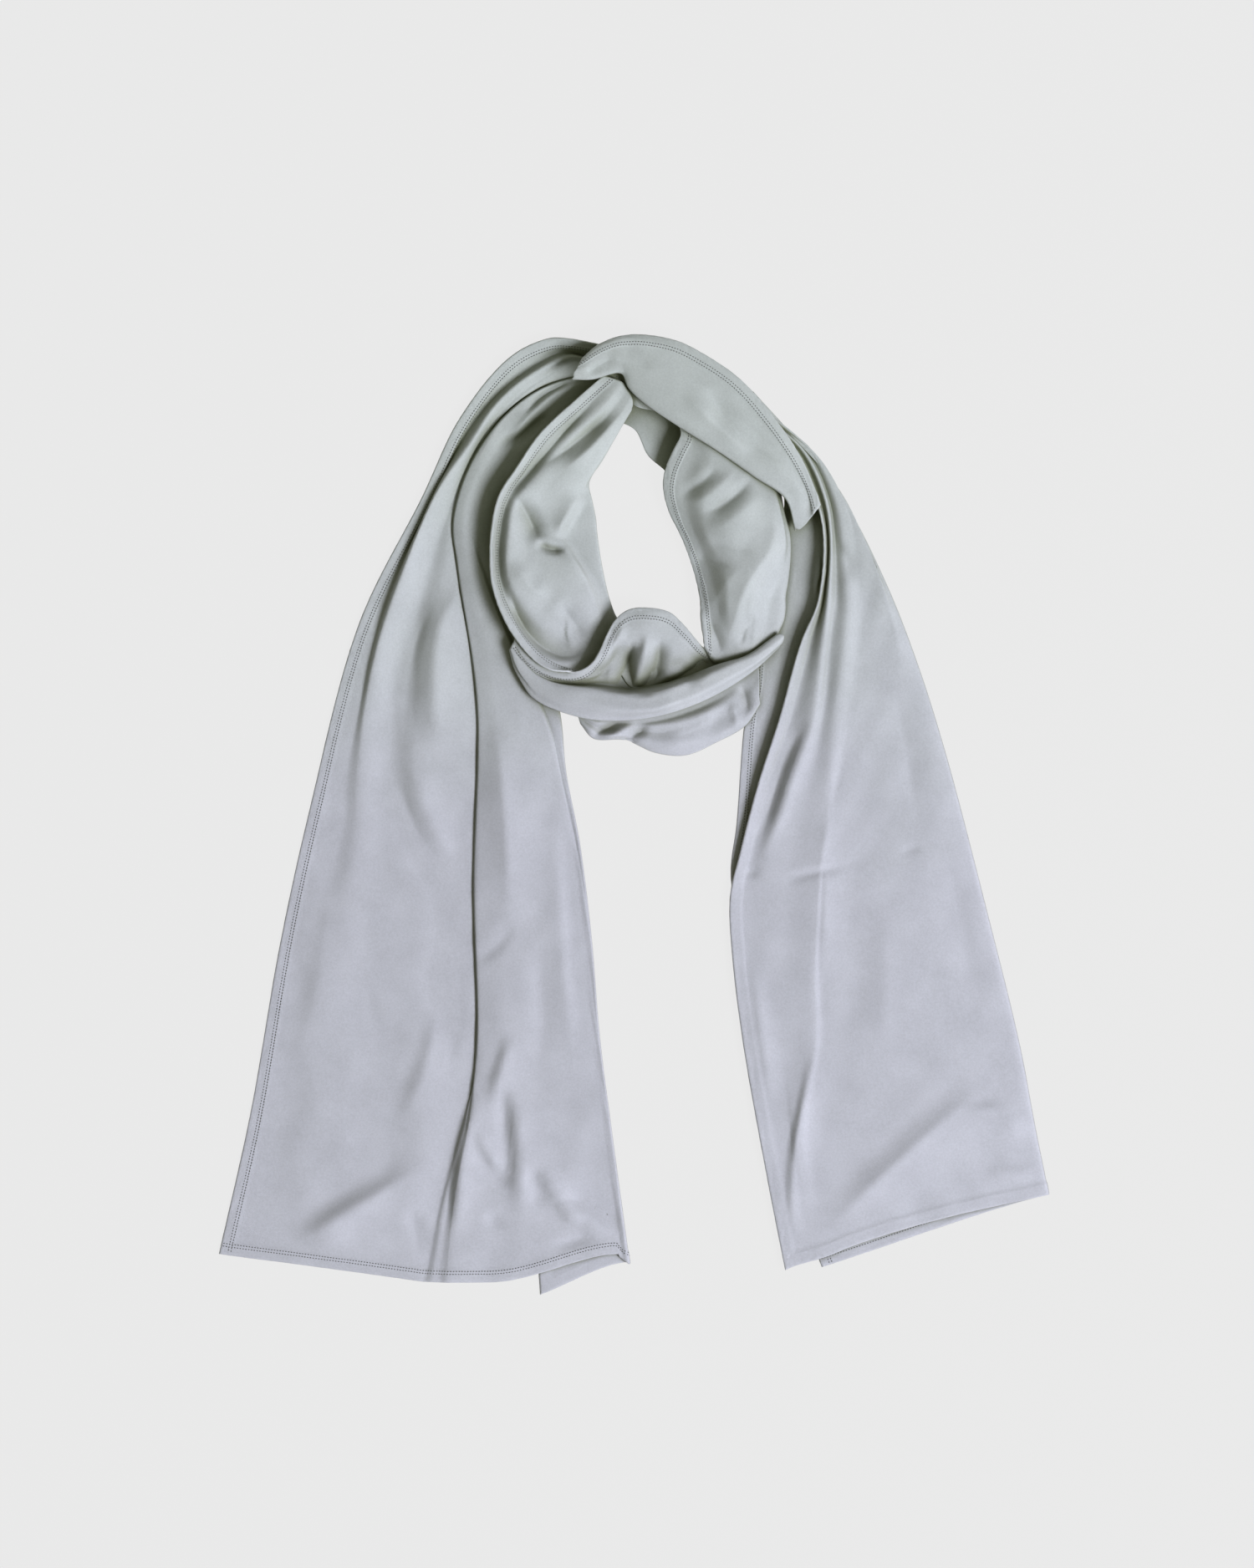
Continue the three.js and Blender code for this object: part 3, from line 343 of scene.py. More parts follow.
def cloth_grid(table, creases, kind, hems, seed):
    """The middle surface of a stretch, its creases in place and its hems puckered."""
    row_gap, column_gap = SPACING[kind]
    first_edge = curve_at(table["folds"][0]["path"], np.linspace(0, 1, 40))
    length = np.linalg.norm(np.diff(first_edge, axis=0), axis=1)
    shares = row_shares(length.sum(), row_gap, hems)
    knots = knots_of(table["folds"], shares)
    grid = sections(knots, column_gap, "first" in hems, "last" in hems)
    if softened(normals_of(grid)[:, :, 2] * open_share(grid), 1).sum() < 0:
        grid = grid[::-1]
        hems = [{"start": "end", "end": "start"}.get(hem, hem) for hem in hems]
    top = open_share(grid)
    u, v = running_length(grid, 0), running_length(grid, 1)
    lift = crease_rise(grid, creases) + 0.32 * MM * waves(u, v, (0.09, 0.05), seed)
    room = np.clip((grid[:, :, 2] - 0.3 * MM) / (2 * MM), 0.25, 1)
    lift = np.where(lift < 0, lift * room, lift) * top
    grid[:, :, 2] += lift
    edge = hem_distance(grid, hems)
    pucker = 0.22 * MM * waves(u + v, u - v, (0.011, 0.014), seed + 1)
    grid = grid + normals_of(grid) * (pucker * np.exp(-(edge / (7 * MM)) ** 2))[:, :, None]
    grid[:, :, 2] = np.maximum(grid[:, :, 2], CLOTH / 2)
    return grid, hems


def tucked(grid, reach):
    """The same cloth, carried on and down past its foot, under the stretch that lies over it."""
    foot_first = grid[0, :, 1].mean() < grid[-1, :, 1].mean()
    rows = grid[::-1] if foot_first else grid
    ahead = flat_unit(rows[-1] - rows[-4])
    added = []
    for share, drop in ((0.3, 0.25), (0.65, 0.8), (1, 1.6)):
        row = rows[-1] + ahead * reach * share
        row[:, 2] = np.maximum(rows[-1, :, 2] - reach * drop, CLOTH / 2)
        added.append(row)
    rows = np.concatenate([rows, np.stack(added)])
    return rows[::-1] if foot_first else rows


def hem_distance(grid, hems):
    """Distance of each point from the nearest turned hem."""
    u, v = running_length(grid, 0), running_length(grid, 1)
    apart = {"first": v, "last": v[:, -1:] - v, "start": u, "end": u[-1:] - u}
    return np.min([np.full(u.shape, 1.0)] + [apart[hem] for hem in hems], axis=0)


def smooth_step(low, high, value):
    """Rises from nothing at low to one at high."""
    t = np.clip((value - low) / (high - low), 0, 1)
    return t * t * (3 - 2 * t)


def mesh_object(name, points, faces, coordinates=None):
    """A smooth mesh object from points and faces, with cloth coordinates in metres."""
    mesh = bpy.data.meshes.new(name)
    mesh.from_pydata([tuple(p) for p in points], [], faces)
    mesh.polygons.foreach_set("use_smooth", [True] * len(mesh.polygons))
    if coordinates is not None:
        layer = mesh.uv_layers.new(name="cloth")
        index = np.empty(len(mesh.loops), int)
        mesh.loops.foreach_get("vertex_index", index)
        layer.data.foreach_set("uv", coordinates[index].ravel())
    made = bpy.data.objects.new(name, mesh)
    bpy.context.scene.collection.objects.link(made)
    return made


def shell(name, grid, hems):
    """A stretch of cloth as a thin closed wall, doubled and rounded over at its turned hems."""
    rows, columns = grid.shape[:2]
    edge = hem_distance(grid, hems)
    hem = 1 - smooth_step(HEM_DEPTH - 0.6 * MM, HEM_DEPTH + 0.8 * MM, edge)
    thick = CLOTH + (HEM_CLOTH - CLOTH) * hem * (0.35 + 0.65 * smooth_step(0, 1.2 * MM, edge))
    normals = normals_of(grid)
    front = grid + normals * thick[:, :, None] / 2
    back = grid - normals * thick[:, :, None] / 2
    for side in (front, back):
        side[:, :, 2] = np.where(side[:, :, 2] < 0.3 * MM, 0, side[:, :, 2])
    index = np.arange(rows * columns).reshape(rows, columns)
    a, b, c, d = index[:-1, :-1], index[1:, :-1], index[1:, 1:], index[:-1, 1:]
    top = np.stack([a, b, c, d], axis=2).reshape(-1, 4)
    under = np.stack([a, d, c, b], axis=2).reshape(-1, 4) + rows * columns
    rim = np.concatenate([index[:, 0], index[-1, 1:], index[-2::-1, -1], index[0, -2:0:-1]])
    after = np.roll(rim, -1)
    side = np.stack([rim, rim + rows * columns, after + rows * columns, after], axis=1)
    faces = np.concatenate([top, under, side]).tolist()
    along, across = running_length(grid, 0), running_length(grid, 1)
    cloth = np.stack([across.ravel(), along.ravel()], axis=1)
    return mesh_object(name, np.concatenate([front.reshape(-1, 3), back.reshape(-1, 3)]), faces,
                       np.concatenate([cloth, cloth]))


def along_hem(grid, hem, depth):
    """Points and normals along a line at a depth inside one hem."""
    normals = normals_of(grid)
    if hem in ("start", "end"):
        grid, normals = grid.transpose(1, 0, 2), normals.transpose(1, 0, 2)
    if hem in ("last", "end"):
        grid, normals = grid[:, ::-1], normals[:, ::-1]
    inward = running_length(grid, 1)
    both = np.concatenate([grid, normals], axis=2)
    line = np.array([[np.interp(depth, inward[j], row[:, k]) for k in range(6)]
                     for j, row in enumerate(both)])
    return line[:, :3], unit(line[:, 3:])


def stitches(name, grid, hems):
    """Two rows of short stitches along each turned hem, on the right side of the cloth."""
    half_width, crown, root, sag = 0.42 * MM, 0.2 * MM, 0.3 * MM, 0.16 * MM
    lowest_seat = 0.5 * MM
    points, faces = [], []
    for hem in hems:
        for depth in STITCH_ROWS:
            line, normal = along_hem(grid, hem, depth)
            length = np.concatenate([[0], np.cumsum(np.linalg.norm(np.diff(line, axis=0), axis=1))])
            middle = np.arange(STITCH_PITCH, length[-1] - STITCH_PITCH, STITCH_PITCH)

            def at(values, where):
                return np.stack([np.interp(where, length, values[:, k]) for k in range(3)], axis=1)

            centre, up = at(line, middle), unit(at(normal, middle))
            ahead = unit(at(line, middle + 0.5 * STITCH_PITCH) - at(line, middle - 0.5 * STITCH_PITCH))
            beside = np.cross(up, ahead)
            seat = centre + up * (HEM_CLOTH / 2 + 0.1 * MM)
            seat[:, 2] = np.maximum(seat[:, 2], lowest_seat)
            reach = 0.4 * STITCH_PITCH
            corners = [seat + ahead * reach - up * sag, seat - ahead * reach - up * sag,
                       seat + beside * half_width, seat - beside * half_width,
                       seat + up * crown, seat - up * root]
            start = sum(len(p) for p in points)
            points.append(np.stack(corners, axis=1).reshape(-1, 3))
            for k in range(len(middle)):
                o = start + 6 * k
                for a, b in ((0, 2), (2, 1), (1, 3), (3, 0)):
                    faces.append((o + a, o + b, o + 4))
                    faces.append((o + b, o + a, o + 5))
    return mesh_object(name, np.concatenate(points), faces)


def node_group(name, outputs):
    """A shader node group with the named outputs, and its output node."""
    group = bpy.data.node_groups.new(name, "ShaderNodeTree")
    for label, kind in outputs:
        group.interface.new_socket(label, in_out="OUTPUT", socket_type=kind)
    made = group.nodes.new("NodeGroupOutput")
    return group, made


def linked(tree, kind, inputs=(), **settings):
    """A node with its settings, its inputs set to values or linked from other sockets."""
    node = tree.nodes.new(kind)
    for key, value in settings.items():
        setattr(node, key, value)
    for socket, value in inputs:
        if isinstance(value, bpy.types.NodeSocket):
            tree.links.new(value, node.inputs[socket])
        else:
            node.inputs[socket].default_value = value
    return node


def knit_group():
    """Rows of fine knitted loops as a height, and their uneven tone as a shade."""
    wale_scale, course_scale, slub_scale, mottle_scale = 640, 900, 620, 34
    group, out = node_group("knit", [("Height", "NodeSocketFloat"), ("Shade", "NodeSocketFloat")])
    cloth = linked(group, "ShaderNodeUVMap", uv_map="cloth").outputs["UV"]
    place = linked(group, "ShaderNodeTexCoord").outputs["Object"]
    wale = linked(group, "ShaderNodeTexWave", [("Vector", cloth), ("Scale", wale_scale), ("Distortion", 1.6),
                  ("Detail", 2), ("Detail Scale", 1.4)], bands_direction="X")
    course = linked(group, "ShaderNodeTexWave", [("Vector", cloth), ("Scale", course_scale),
                    ("Distortion", 2.2), ("Detail", 1)], bands_direction="Y")
    slub = linked(group, "ShaderNodeTexNoise", [("Vector", place), ("Scale", slub_scale), ("Detail", 3),
                  ("Roughness", 0.7)])
    loops = linked(group, "ShaderNodeMath", [(0, wale.outputs["Fac"]), (1, course.outputs["Fac"])],
                   operation="MULTIPLY")
    height = linked(group, "ShaderNodeMath", [(0, slub.outputs["Fac"]), (1, 0.7), (2, loops.outputs[0])],
                    operation="MULTIPLY_ADD")
    mottle = linked(group, "ShaderNodeTexNoise", [("Vector", place), ("Scale", mottle_scale), ("Detail", 6),
                    ("Roughness", 0.62)])
    speckled = linked(group, "ShaderNodeMix", [("Factor", 0.55), (2, mottle.outputs["Fac"]),
                      (3, slub.outputs["Fac"])])
    shade = linked(group, "ShaderNodeMapRange", [("Value", speckled.outputs[0]), ("From Min", 0.32),
                   ("From Max", 0.68), ("To Min", 0.0), ("To Max", 1.0)])
    group.links.new(height.outputs[0], out.inputs["Height"])
    group.links.new(shade.outputs[0], out.inputs["Shade"])
    return group


def tone_group():
    """How far a point lies towards the wound loop at the top of the plan, patchily, where the colour turns
    greener.
    """
    group, out = node_group("tone", [("Factor", "NodeSocketFloat")])
    place = linked(group, "ShaderNodeTexCoord").outputs["Object"]
    cloud = linked(group, "ShaderNodeTexNoise", [("Vector", place), ("Scale", 7), ("Detail", 3),
                   ("Roughness", 0.5)])
    along = linked(group, "ShaderNodeSeparateXYZ", [(0, place)]).outputs["Y"]
    swing = linked(group, "ShaderNodeMath", [(0, cloud.outputs["Fac"]), (1, 0.22), (2, along)],
                   operation="MULTIPLY_ADD")
    factor = linked(group, "ShaderNodeMapRange", [("Value", swing.outputs[0]), ("From Min", 0.06),
                    ("From Max", 0.42), ("To Min", 0.0), ("To Max", 1.0)], interpolation_type="SMOOTHSTEP")
    group.links.new(factor.outputs[0], out.inputs["Factor"])
    return group


def painted_shade_group():
    """How closely nearby cloth shuts a point in, as the mask of painted shade: the colour is darkened and
    warmed there, standing in for the shade that falls in folds.
    """
    group, out = node_group("painted_fold_shade", [("Factor", "NodeSocketFloat")])
    reach = 0.035
    open_sky = linked(group, "ShaderNodeAmbientOcclusion", [("Distance", reach)], samples=12)
    factor = linked(group, "ShaderNodeMapRange", [("Value", open_sky.outputs["AO"]), ("From Min", 0.92),
                    ("From Max", 0.3), ("To Min", 0.0), ("To Max", 1.0)])
    group.links.new(factor.outputs[0], out.inputs["Factor"])
    return group


def jersey(name, lilac, sage, knit, tone, painted_fold_shade):
    """Matte fine jersey between two tones, darker and lighter by a little from place to place, with painted
    shade darkening it in folds.
    """
    material = bpy.data.materials.new(name)
    material.use_nodes = True
    tree = material.node_tree
    surface = tree.nodes["Principled BSDF"]
    weave = linked(tree, "ShaderNodeGroup", node_tree=knit)
    dye = linked(tree, "ShaderNodeGroup", node_tree=tone)
    mixed = linked(tree, "ShaderNodeMix", [("Factor", dye.outputs["Factor"])], data_type="RGBA")
    mixed.inputs[6].default_value = (*lilac, 1)
    mixed.inputs[7].default_value = (*sage, 1)
    worn = linked(tree, "ShaderNodeMix", [("Factor", weave.outputs["Shade"])], data_type="RGBA",
                  blend_type="MIX")
    darker = linked(tree, "ShaderNodeHueSaturation", [("Value", 0.87), ("Color", mixed.outputs[2])])
    lighter = linked(tree, "ShaderNodeHueSaturation", [("Value", 1.1), ("Color", mixed.outputs[2])])
    tree.links.new(darker.outputs[0], worn.inputs[6])
    tree.links.new(lighter.outputs[0], worn.inputs[7])
    # Painted shade: the colour is multiplied towards a dark warm green where folds shut the cloth in,
    # standing in for the shade there.
    depth = linked(tree, "ShaderNodeGroup", node_tree=painted_fold_shade)
    painted_shade_mix = linked(tree, "ShaderNodeMix", [("Factor", depth.outputs["Factor"])], data_type="RGBA",
                  blend_type="MULTIPLY")
    tree.links.new(worn.outputs[2], painted_shade_mix.inputs[6])
    painted_shade_mix.inputs[7].default_value = (*PAINTED_SHADE_TINT, 1)
    tree.links.new(painted_shade_mix.outputs[2], surface.inputs["Base Color"])
    bump = linked(tree, "ShaderNodeBump", [("Strength", 0.55), ("Distance", 0.0004),
                  ("Height", weave.outputs["Height"])])
    tree.links.new(bump.outputs[0], surface.inputs["Normal"])
    surface.inputs["Roughness"].default_value = 0.66
    surface.inputs["Specular IOR Level"].default_value = 0.28
    surface.inputs["Sheen Weight"].default_value = 0.22
    surface.inputs["Sheen Roughness"].default_value = 0.45
    return material


LILAC = (0.605, 0.60, 0.705)
SAGE = (0.562, 0.592, 0.612)
# The dark warm green of the painted shade in folds.
PAINTED_SHADE_TINT = (0.35, 0.36, 0.21)
knit, tone, painted_fold_shade = knit_group(), tone_group(), painted_shade_group()
tail_cloth = jersey("tail_jersey", LILAC, SAGE, knit, tone, painted_fold_shade)

# The stitches are coloured near black: painted shade standing in for the dimples that the stitches pull into
# the cloth; the thread itself has the cloth's own tone.
thread_and_dimple_shade = bpy.data.materials.new("thread_and_dimple_shade")
thread_and_dimple_shade.use_nodes = True
strand = thread_and_dimple_shade.node_tree.nodes["Principled BSDF"]
twist = linked(thread_and_dimple_shade.node_tree, "ShaderNodeTexNoise", [("Scale", 900), ("Detail", 2)])
ply = linked(thread_and_dimple_shade.node_tree, "ShaderNodeValToRGB", [(0, twist.outputs["Fac"])])
ply.color_ramp.elements[0].color = (0.06, 0.06, 0.065, 1)
ply.color_ramp.elements[1].color = (0.13, 0.13, 0.135, 1)
thread_and_dimple_shade.node_tree.links.new(ply.outputs[0], strand.inputs["Base Color"])
strand.inputs["Roughness"].default_value = 0.5


def dress(piece, material):
    """Gives a piece its material and its body."""
    piece.data.materials.append(material)
    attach(piece, "root")


def stretch(name, table, creases, kind, hems, seed, material, tuck=0):
    """One visible stretch of the strip, with its stitches, standing for its solid."""
    grid, hems = cloth_grid(table, creases, kind, hems, seed)
    if tuck:
        grid = tucked(grid, tuck)
    piece = shell(name + "_cloth", grid, hems)
    dress(piece, material)
    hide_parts(name)
    sewn = []
    if hems:
        sewn = [stitches(name + "_stitches", grid, hems)]
        dress(sewn[0], thread_and_dimple_shade)
    return grid, piece


left_tail = stretch("left_tail", LEFT_TAIL, LEFT_TAIL_CREASES, "broad", ["first", "last", "end"], seed=3,
                    material=tail_cloth)[1]

# Right tail
# The last end of the same strip, laid down from the neck band, with two soft rolls along its left hem.
# Its right side is folded under it, and its end has the same turned and stitched hem.

RIGHT_TAIL = {
    "folds": [
      {"name": "hem", "path": [
        [891, 500, 17], [940, 537, 14], [970, 588, 13], [984, 633, 12.5], [978, 720, 12],
        [957, 770, 11.5], [933, 856, 10], [906, 940, 8.6], [885, 1020, 7], [873, 1073, 5.4],
        [876, 1147, 4.4], [889, 1250, 4.2], [918, 1412, 4.2], [939, 1519, 4.2]]},
      {"name": "inner trough", "path": [
        [892, 495, 16.8], [950, 536, 9], [976, 586, 7], [989, 635, 6.4], [985, 720, 6], [968, 775, 6],
        [948, 856, 5.4], [921, 945, 4.6], [901, 1024, 4.2], [890, 1073, 4.2], [893, 1147, 4.2],
        [905, 1250, 4.2], [932, 1412, 4.2], [951, 1514, 4.2]]},
      {"name": "narrow roll", "path": [
        [893, 490, 17.2], [957, 537, 12], [985, 592, 12], [993, 640, 12], [990, 715, 12], [981, 785, 12],
        [972, 860, 11], [945, 950, 9], [922, 1024, 6.4], [915, 1073, 5.2], [918, 1147, 4.6],
        [930, 1250, 4.4], [952, 1412, 4.2], [968, 1509, 4.2]]},
      {"name": "pocket", "path": [
        [894, 486, 16.8], [964, 540, 8], [991, 597, 5.6], [998, 645, 5.6], [999, 720, 5.2],
        [992, 790, 5.4], [985, 850, 7.4], [966, 950, 7.4], [945, 1024, 6], [938, 1073, 5.4],
        [941, 1147, 5], [948, 1250, 5], [951, 1350, 5.4], [960, 1412, 4.8], [982, 1505, 4.2]]},
      {"name": "wide roll", "path": [
        [895, 482, 17], [971, 542, 10], [1001, 602, 9], [1010, 660, 10], [1014, 730, 11],
        [1007, 800, 10.6], [998, 860, 10], [990, 950, 9], [980, 1030, 8], [976, 1090, 7.4],
        [973, 1170, 6.6], [974, 1240, 6.2], [958, 1340, 5.8], [966, 1420, 4.8], [994, 1501, 4.2]]},
      {"name": "roll foot", "path": [
        [896, 478, 16.4], [981, 551, 9], [1012, 612, 8.4], [1025, 670, 8.4], [1030, 740, 8.2],
        [1024, 810, 7.6], [1014, 880, 7], [1000, 960, 5.6], [988, 1034, 4.6], [984, 1092, 4.4],
        [981, 1172, 4.4], [984, 1245, 4.4], [968, 1342, 4.4], [978, 1422, 4.4], [1010, 1494, 4.2]]},
      {"name": "broad swell", "path": [
        [897, 474, 15.4], [994, 575, 8], [1035, 650, 8], [1065, 740, 7.4], [1080, 860, 6.6],
        [1095, 960, 6], [1100, 1100, 5.6], [1105, 1240, 5.4], [1108, 1350, 5.6], [1125, 1458, 4.2]]},
      {"name": "right fold", "turn": 1.8, "path": [
        [900, 470, 12], [952, 527, 5], [1008, 598, 3], [1060, 700, 2.4], [1097, 795, 2.4],
        [1130, 900, 2.4], [1176, 1075, 2.4], [1219, 1250, 2.4], [1237, 1345, 2.4], [1254, 1429, 2.4]]},
      {"name": "underlap", "path": [
        [932, 526, 4.6], [938, 585, 2], [934, 650, 0.6], [907, 740, 0.6], [898, 830, 0.6],
        [890, 870, 0.6], [881, 985, 0.6], [874, 1045, 0.6], [885, 1120, 0.6], [905, 1250, 0.6],
        [944, 1412, 0.6], [983, 1516, 0.6]]},
    ],
}

RIGHT_TAIL_CREASES = [
    ([(968, 622), (964, 690), (952, 755), (934, 825)], -5.0, (14, 14)),
    ([(976, 652), (985, 682), (997, 719), (998, 745), (992, 800), (985, 842)], 4.4, (42, 23)),
    ([(992, 640), (1008, 660), (1020, 700)], -2.6, (13, 16)),
    ([(980, 846), (962, 888), (946, 930), (934, 970), (921, 1001), (902, 1044)], 2.4, (13, 16)),
    ([(968, 850), (945, 905), (925, 960), (908, 1010)], -3.1, (10, 10)),
    ([(888, 1045), (896, 1045), (908, 1043)], -1.6, (6, 6)),
    ([(931, 1056), (956, 1048), (1019, 1035)], -2.0, (8, 9)),
    ([(1019, 898), (1008, 930), (998, 965), (989, 1015), (986, 1060), (984, 1120), (980, 1200)],
     3.1, (36, 10)),
    ([(980, 1240), (967, 1290), (956, 1342), (949, 1386), (947, 1440), (951, 1490)], 2.9, (29, 8)),
    ([(1075, 1020), (1088, 1016), (1104, 1015)], -1.4, (6, 8)),
    ([(985, 1480), (1030, 1430), (1070, 1392), (1105, 1360), (1140, 1330), (1186, 1292)], 4.4, (27, 55)),
    ([(1150, 1330), (1172, 1326), (1192, 1328), (1216, 1342), (1240, 1355)], 3.1, (12, 31)),
    ([(1180, 1398), (1210, 1402), (1242, 1400)], 1.7, (9, 18)),
    ([(1065, 800), (1085, 900), (1100, 1000)], -1.6, (31, 31)),
    ([(1050, 1080), (1060, 1180), (1045, 1290)], 1.7, (44, 39)),
    ([(1120, 980), (1150, 1100), (1165, 1220)], -1.4, (34, 34)),
    ([(900, 1140), (910, 1230), (925, 1330)], 1.6, (18, 16)),
    ([(1010, 560), (1034, 620), (1046, 690)], -2.0, (21, 21)),
]

right_tail = stretch("right_tail", RIGHT_TAIL, RIGHT_TAIL_CREASES, "broad", ["first", "last", "end"], seed=11,
                     material=tail_cloth)[1]

# Neck back
# The strip where it crosses behind the neck, folded over on its outer side under the neck band.
# Its inner edge is the open edge of the neck opening, and its folded layers lie inside it.

NECK_BACK = {
    "folds": [
      {"name": "hem", "path": [
        [723.4, 456, 12], [745, 474, 13], [762, 488, 14], [783, 493, 15], [799, 500, 15.5],
        [808, 505, 16]]},
      {"name": "back swell", "path": [
        [723.4, 438, 15], [752, 440, 18], [790, 448, 20.2], [830, 468, 19.4], [868, 498, 17.4],
        [880, 515, 16]]},
      {"name": "outer fold", "turn": 6, "path": [
        [723.4, 418, 7.6], [760, 411, 7.6], [815, 419, 7.6], [862, 446, 7.6], [898, 484, 7.6],
        [915, 525, 7.6]]},
      {"name": "lower layer", "path": [
        [723.4, 450, 0.8], [752, 460, 0.8], [790, 475, 0.8], [822, 500, 0.8], [850, 530, 0.8],
        [858, 552, 0.8]]},
      {"name": "lower hem", "path": [
        [723.4, 497, 0.6], [742, 505, 0.6], [760, 515, 0.6], [775, 545, 0.6], [795, 563, 0.6],
        [803, 575, 0.6]]},
    ],
}

def hidden_folds(name, grid, rows_from_to, columns_from_to, floor=0, floor_column=None):
    """The folded layers under the top cloth of a stretch, as one soft body with layered edges."""
    normals = normals_of(grid)
    drop = CLOTH / 2 + 0.9 * MM
    inner = softened(grid[:, :, 2], 2)
    length, width = len(grid) - 1, grid.shape[1] - 1
    first, last = rows_from_to
    left, right = [round(share * width) for share in columns_from_to]
    rows = np.unique(np.linspace(first * length, last * length, 40).round().astype(int))
    picked = np.unique(np.linspace(left, right, 24).round().astype(int))
    top = (grid - normals * drop)[rows][:, picked]
    top[:, :, 2] = np.maximum(np.minimum(top[:, :, 2], inner[rows][:, picked] - drop), 1.4 * MM)
    base = top.copy()
    level = floor * MM
    if floor_column is not None:
        level = grid[rows][:, round(floor_column * width), 2][:, None] + drop
    base[:, :, 2] = np.maximum(np.minimum(level, top[:, :, 2] - 1.2 * MM), 0.1 * MM)
    middle = top.mean(axis=(0, 1))
    layers = [base]
    for k in range(1, 8):
        pull = 0.985 if k % 2 else 1.0
        layer = base + (top - base) * k / 8
        layer[:, :, :2] = middle[:2] + (layer[:, :, :2] - middle[:2]) * pull
        layers.append(layer)
    layers.append(top)
    count, width = top.shape[:2]
    index = np.arange(count * width).reshape(count, width)
    ring = np.concatenate([index[:, 0], index[-1, 1:], index[-2::-1, -1], index[0, -2:0:-1]])
    points = [top.reshape(-1, 3), base.reshape(-1, 3)]
    a, b, c, d = index[:-1, :-1], index[1:, :-1], index[1:, 1:], index[:-1, 1:]
    upper = np.stack([a, b, c, d], axis=2).reshape(-1, 4)
    faces = upper.tolist() + (upper[:, ::-1] + count * width).tolist()
    above, offset = ring, 2 * count * width
    for layer in layers[-2:0:-1]:
        points.append(layer.reshape(-1, 3)[ring])
        below = np.arange(len(ring)) + offset
        offset += len(ring)
        faces += np.stack([above, below, np.roll(below, -1), np.roll(above, -1)], axis=1).tolist()
        above = below
    below = ring + count * width
    faces += np.stack([above, below, np.roll(below, -1), np.roll(above, -1)], axis=1).tolist()
    return mesh_object(name, np.concatenate(points), faces)


loop_cloth = jersey("loop_jersey", LILAC, SAGE, knit, tone, painted_fold_shade)


def stretch_with_folds(name, table, creases, kind, hems, seed, inside, tuck=0):
    """A stretch of the wound loop, and the folded layers that it hides."""
    grid, piece = stretch(name, table, creases, kind, hems, seed, loop_cloth,
                          tuck)
    folds = hidden_folds(name + "_layers", grid, **inside)
    dress(folds, loop_cloth)
    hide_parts(name + "_folds")
    return piece


neck_back = stretch_with_folds("neck_back", NECK_BACK, [], "small", ["first"], seed=21,
                               inside={"rows_from_to": (0.1, 0.9), "columns_from_to": (0.1, 0.36),
                                       "floor": 2.4})

# Right limb of the loop
# The strip coming down the right side of the neck opening as a soft, crumpled roll.

LOOP_RIGHT = {
    "folds": [
      {"name": "hem", "path": [
        [811, 507, 16], [814, 521, 16], [806, 538, 15], [796, 561, 12.5], [793, 582, 11], [800, 612, 9],
        [816, 645, 8], [830, 685, 8], [837, 715, 9], [838, 740, 10], [842, 772, 12]]},
      {"name": "hem trough", "path": [
        [826, 512, 16], [830, 527, 16.6], [826, 545, 16.6], [820, 565, 15.4], [815, 588, 14],
        [822, 620, 13], [838, 660, 12], [850, 695, 12], [857, 722, 15], [859, 750, 14], [858, 789, 9.6]]},
      {"name": "inner crest", "path": [
        [848, 517, 17.4], [852, 535, 19], [850, 558, 21], [846, 580, 22], [842, 604, 22],
        [846, 636, 22.6], [862, 672, 22], [872, 703, 23], [872, 730, 22], [874, 756, 17], [873, 791, 9.6]]},
      {"name": "crest", "path": [
        [880, 524, 16.4], [884, 546, 17], [884, 570, 21], [881, 595, 25], [878, 620, 26],
        [880, 650, 26.4], [892, 685, 26], [896, 714, 25], [893, 738, 23], [890, 762, 17.6],
        [887, 788, 10]]},
      {"name": "outer shoulder", "path": [
        [905, 530, 14.4], [912, 556, 14.6], [915, 582, 16], [917, 606, 20], [920, 630, 22],
        [926, 652, 22], [914, 690, 22], [906, 716, 21], [902, 738, 19], [900, 758, 16], [898, 780, 11.6]]},
      {"name": "lower shoulder", "path": [
        [914, 533, 12], [922, 561, 12], [927, 588, 13], [932, 610, 16], [937, 633, 17], [939, 654, 15.4],
        [929, 694, 12], [922, 716, 11], [919, 732, 11], [916, 750, 11], [912, 770, 10.4]]},
      {"name": "outer fold", "turn": 3, "path": [
        [920, 537, 7.4], [929, 566, 7], [934, 594, 7], [938, 616, 7], [944, 640, 7], [945, 662, 7],
        [942, 696, 6.6], [939, 714, 6.4], [939, 728, 6.4], [937, 742, 6.4], [931, 756, 6.4]]},
      {"name": "lower layer", "path": [
        [890, 545, 3.8], [895, 572, 3.6], [898, 598, 3.4], [901, 620, 3.2], [905, 645, 3.2],
        [906, 668, 3.2], [902, 702, 3.2], [900, 720, 3.2], [898, 734, 3.2], [896, 746, 3.2],
        [893, 758, 3.2]]},
      {"name": "lower hem", "path": [
        [842, 560, 2.8], [842, 582, 2.6], [840, 600, 1.8], [836, 620, 1], [840, 650, 0.6],
        [846, 676, 0.6], [856, 700, 0.6], [860, 718, 0.6], [862, 732, 0.6], [863, 744, 0.6],
        [865, 756, 0.6]]},
    ],
}

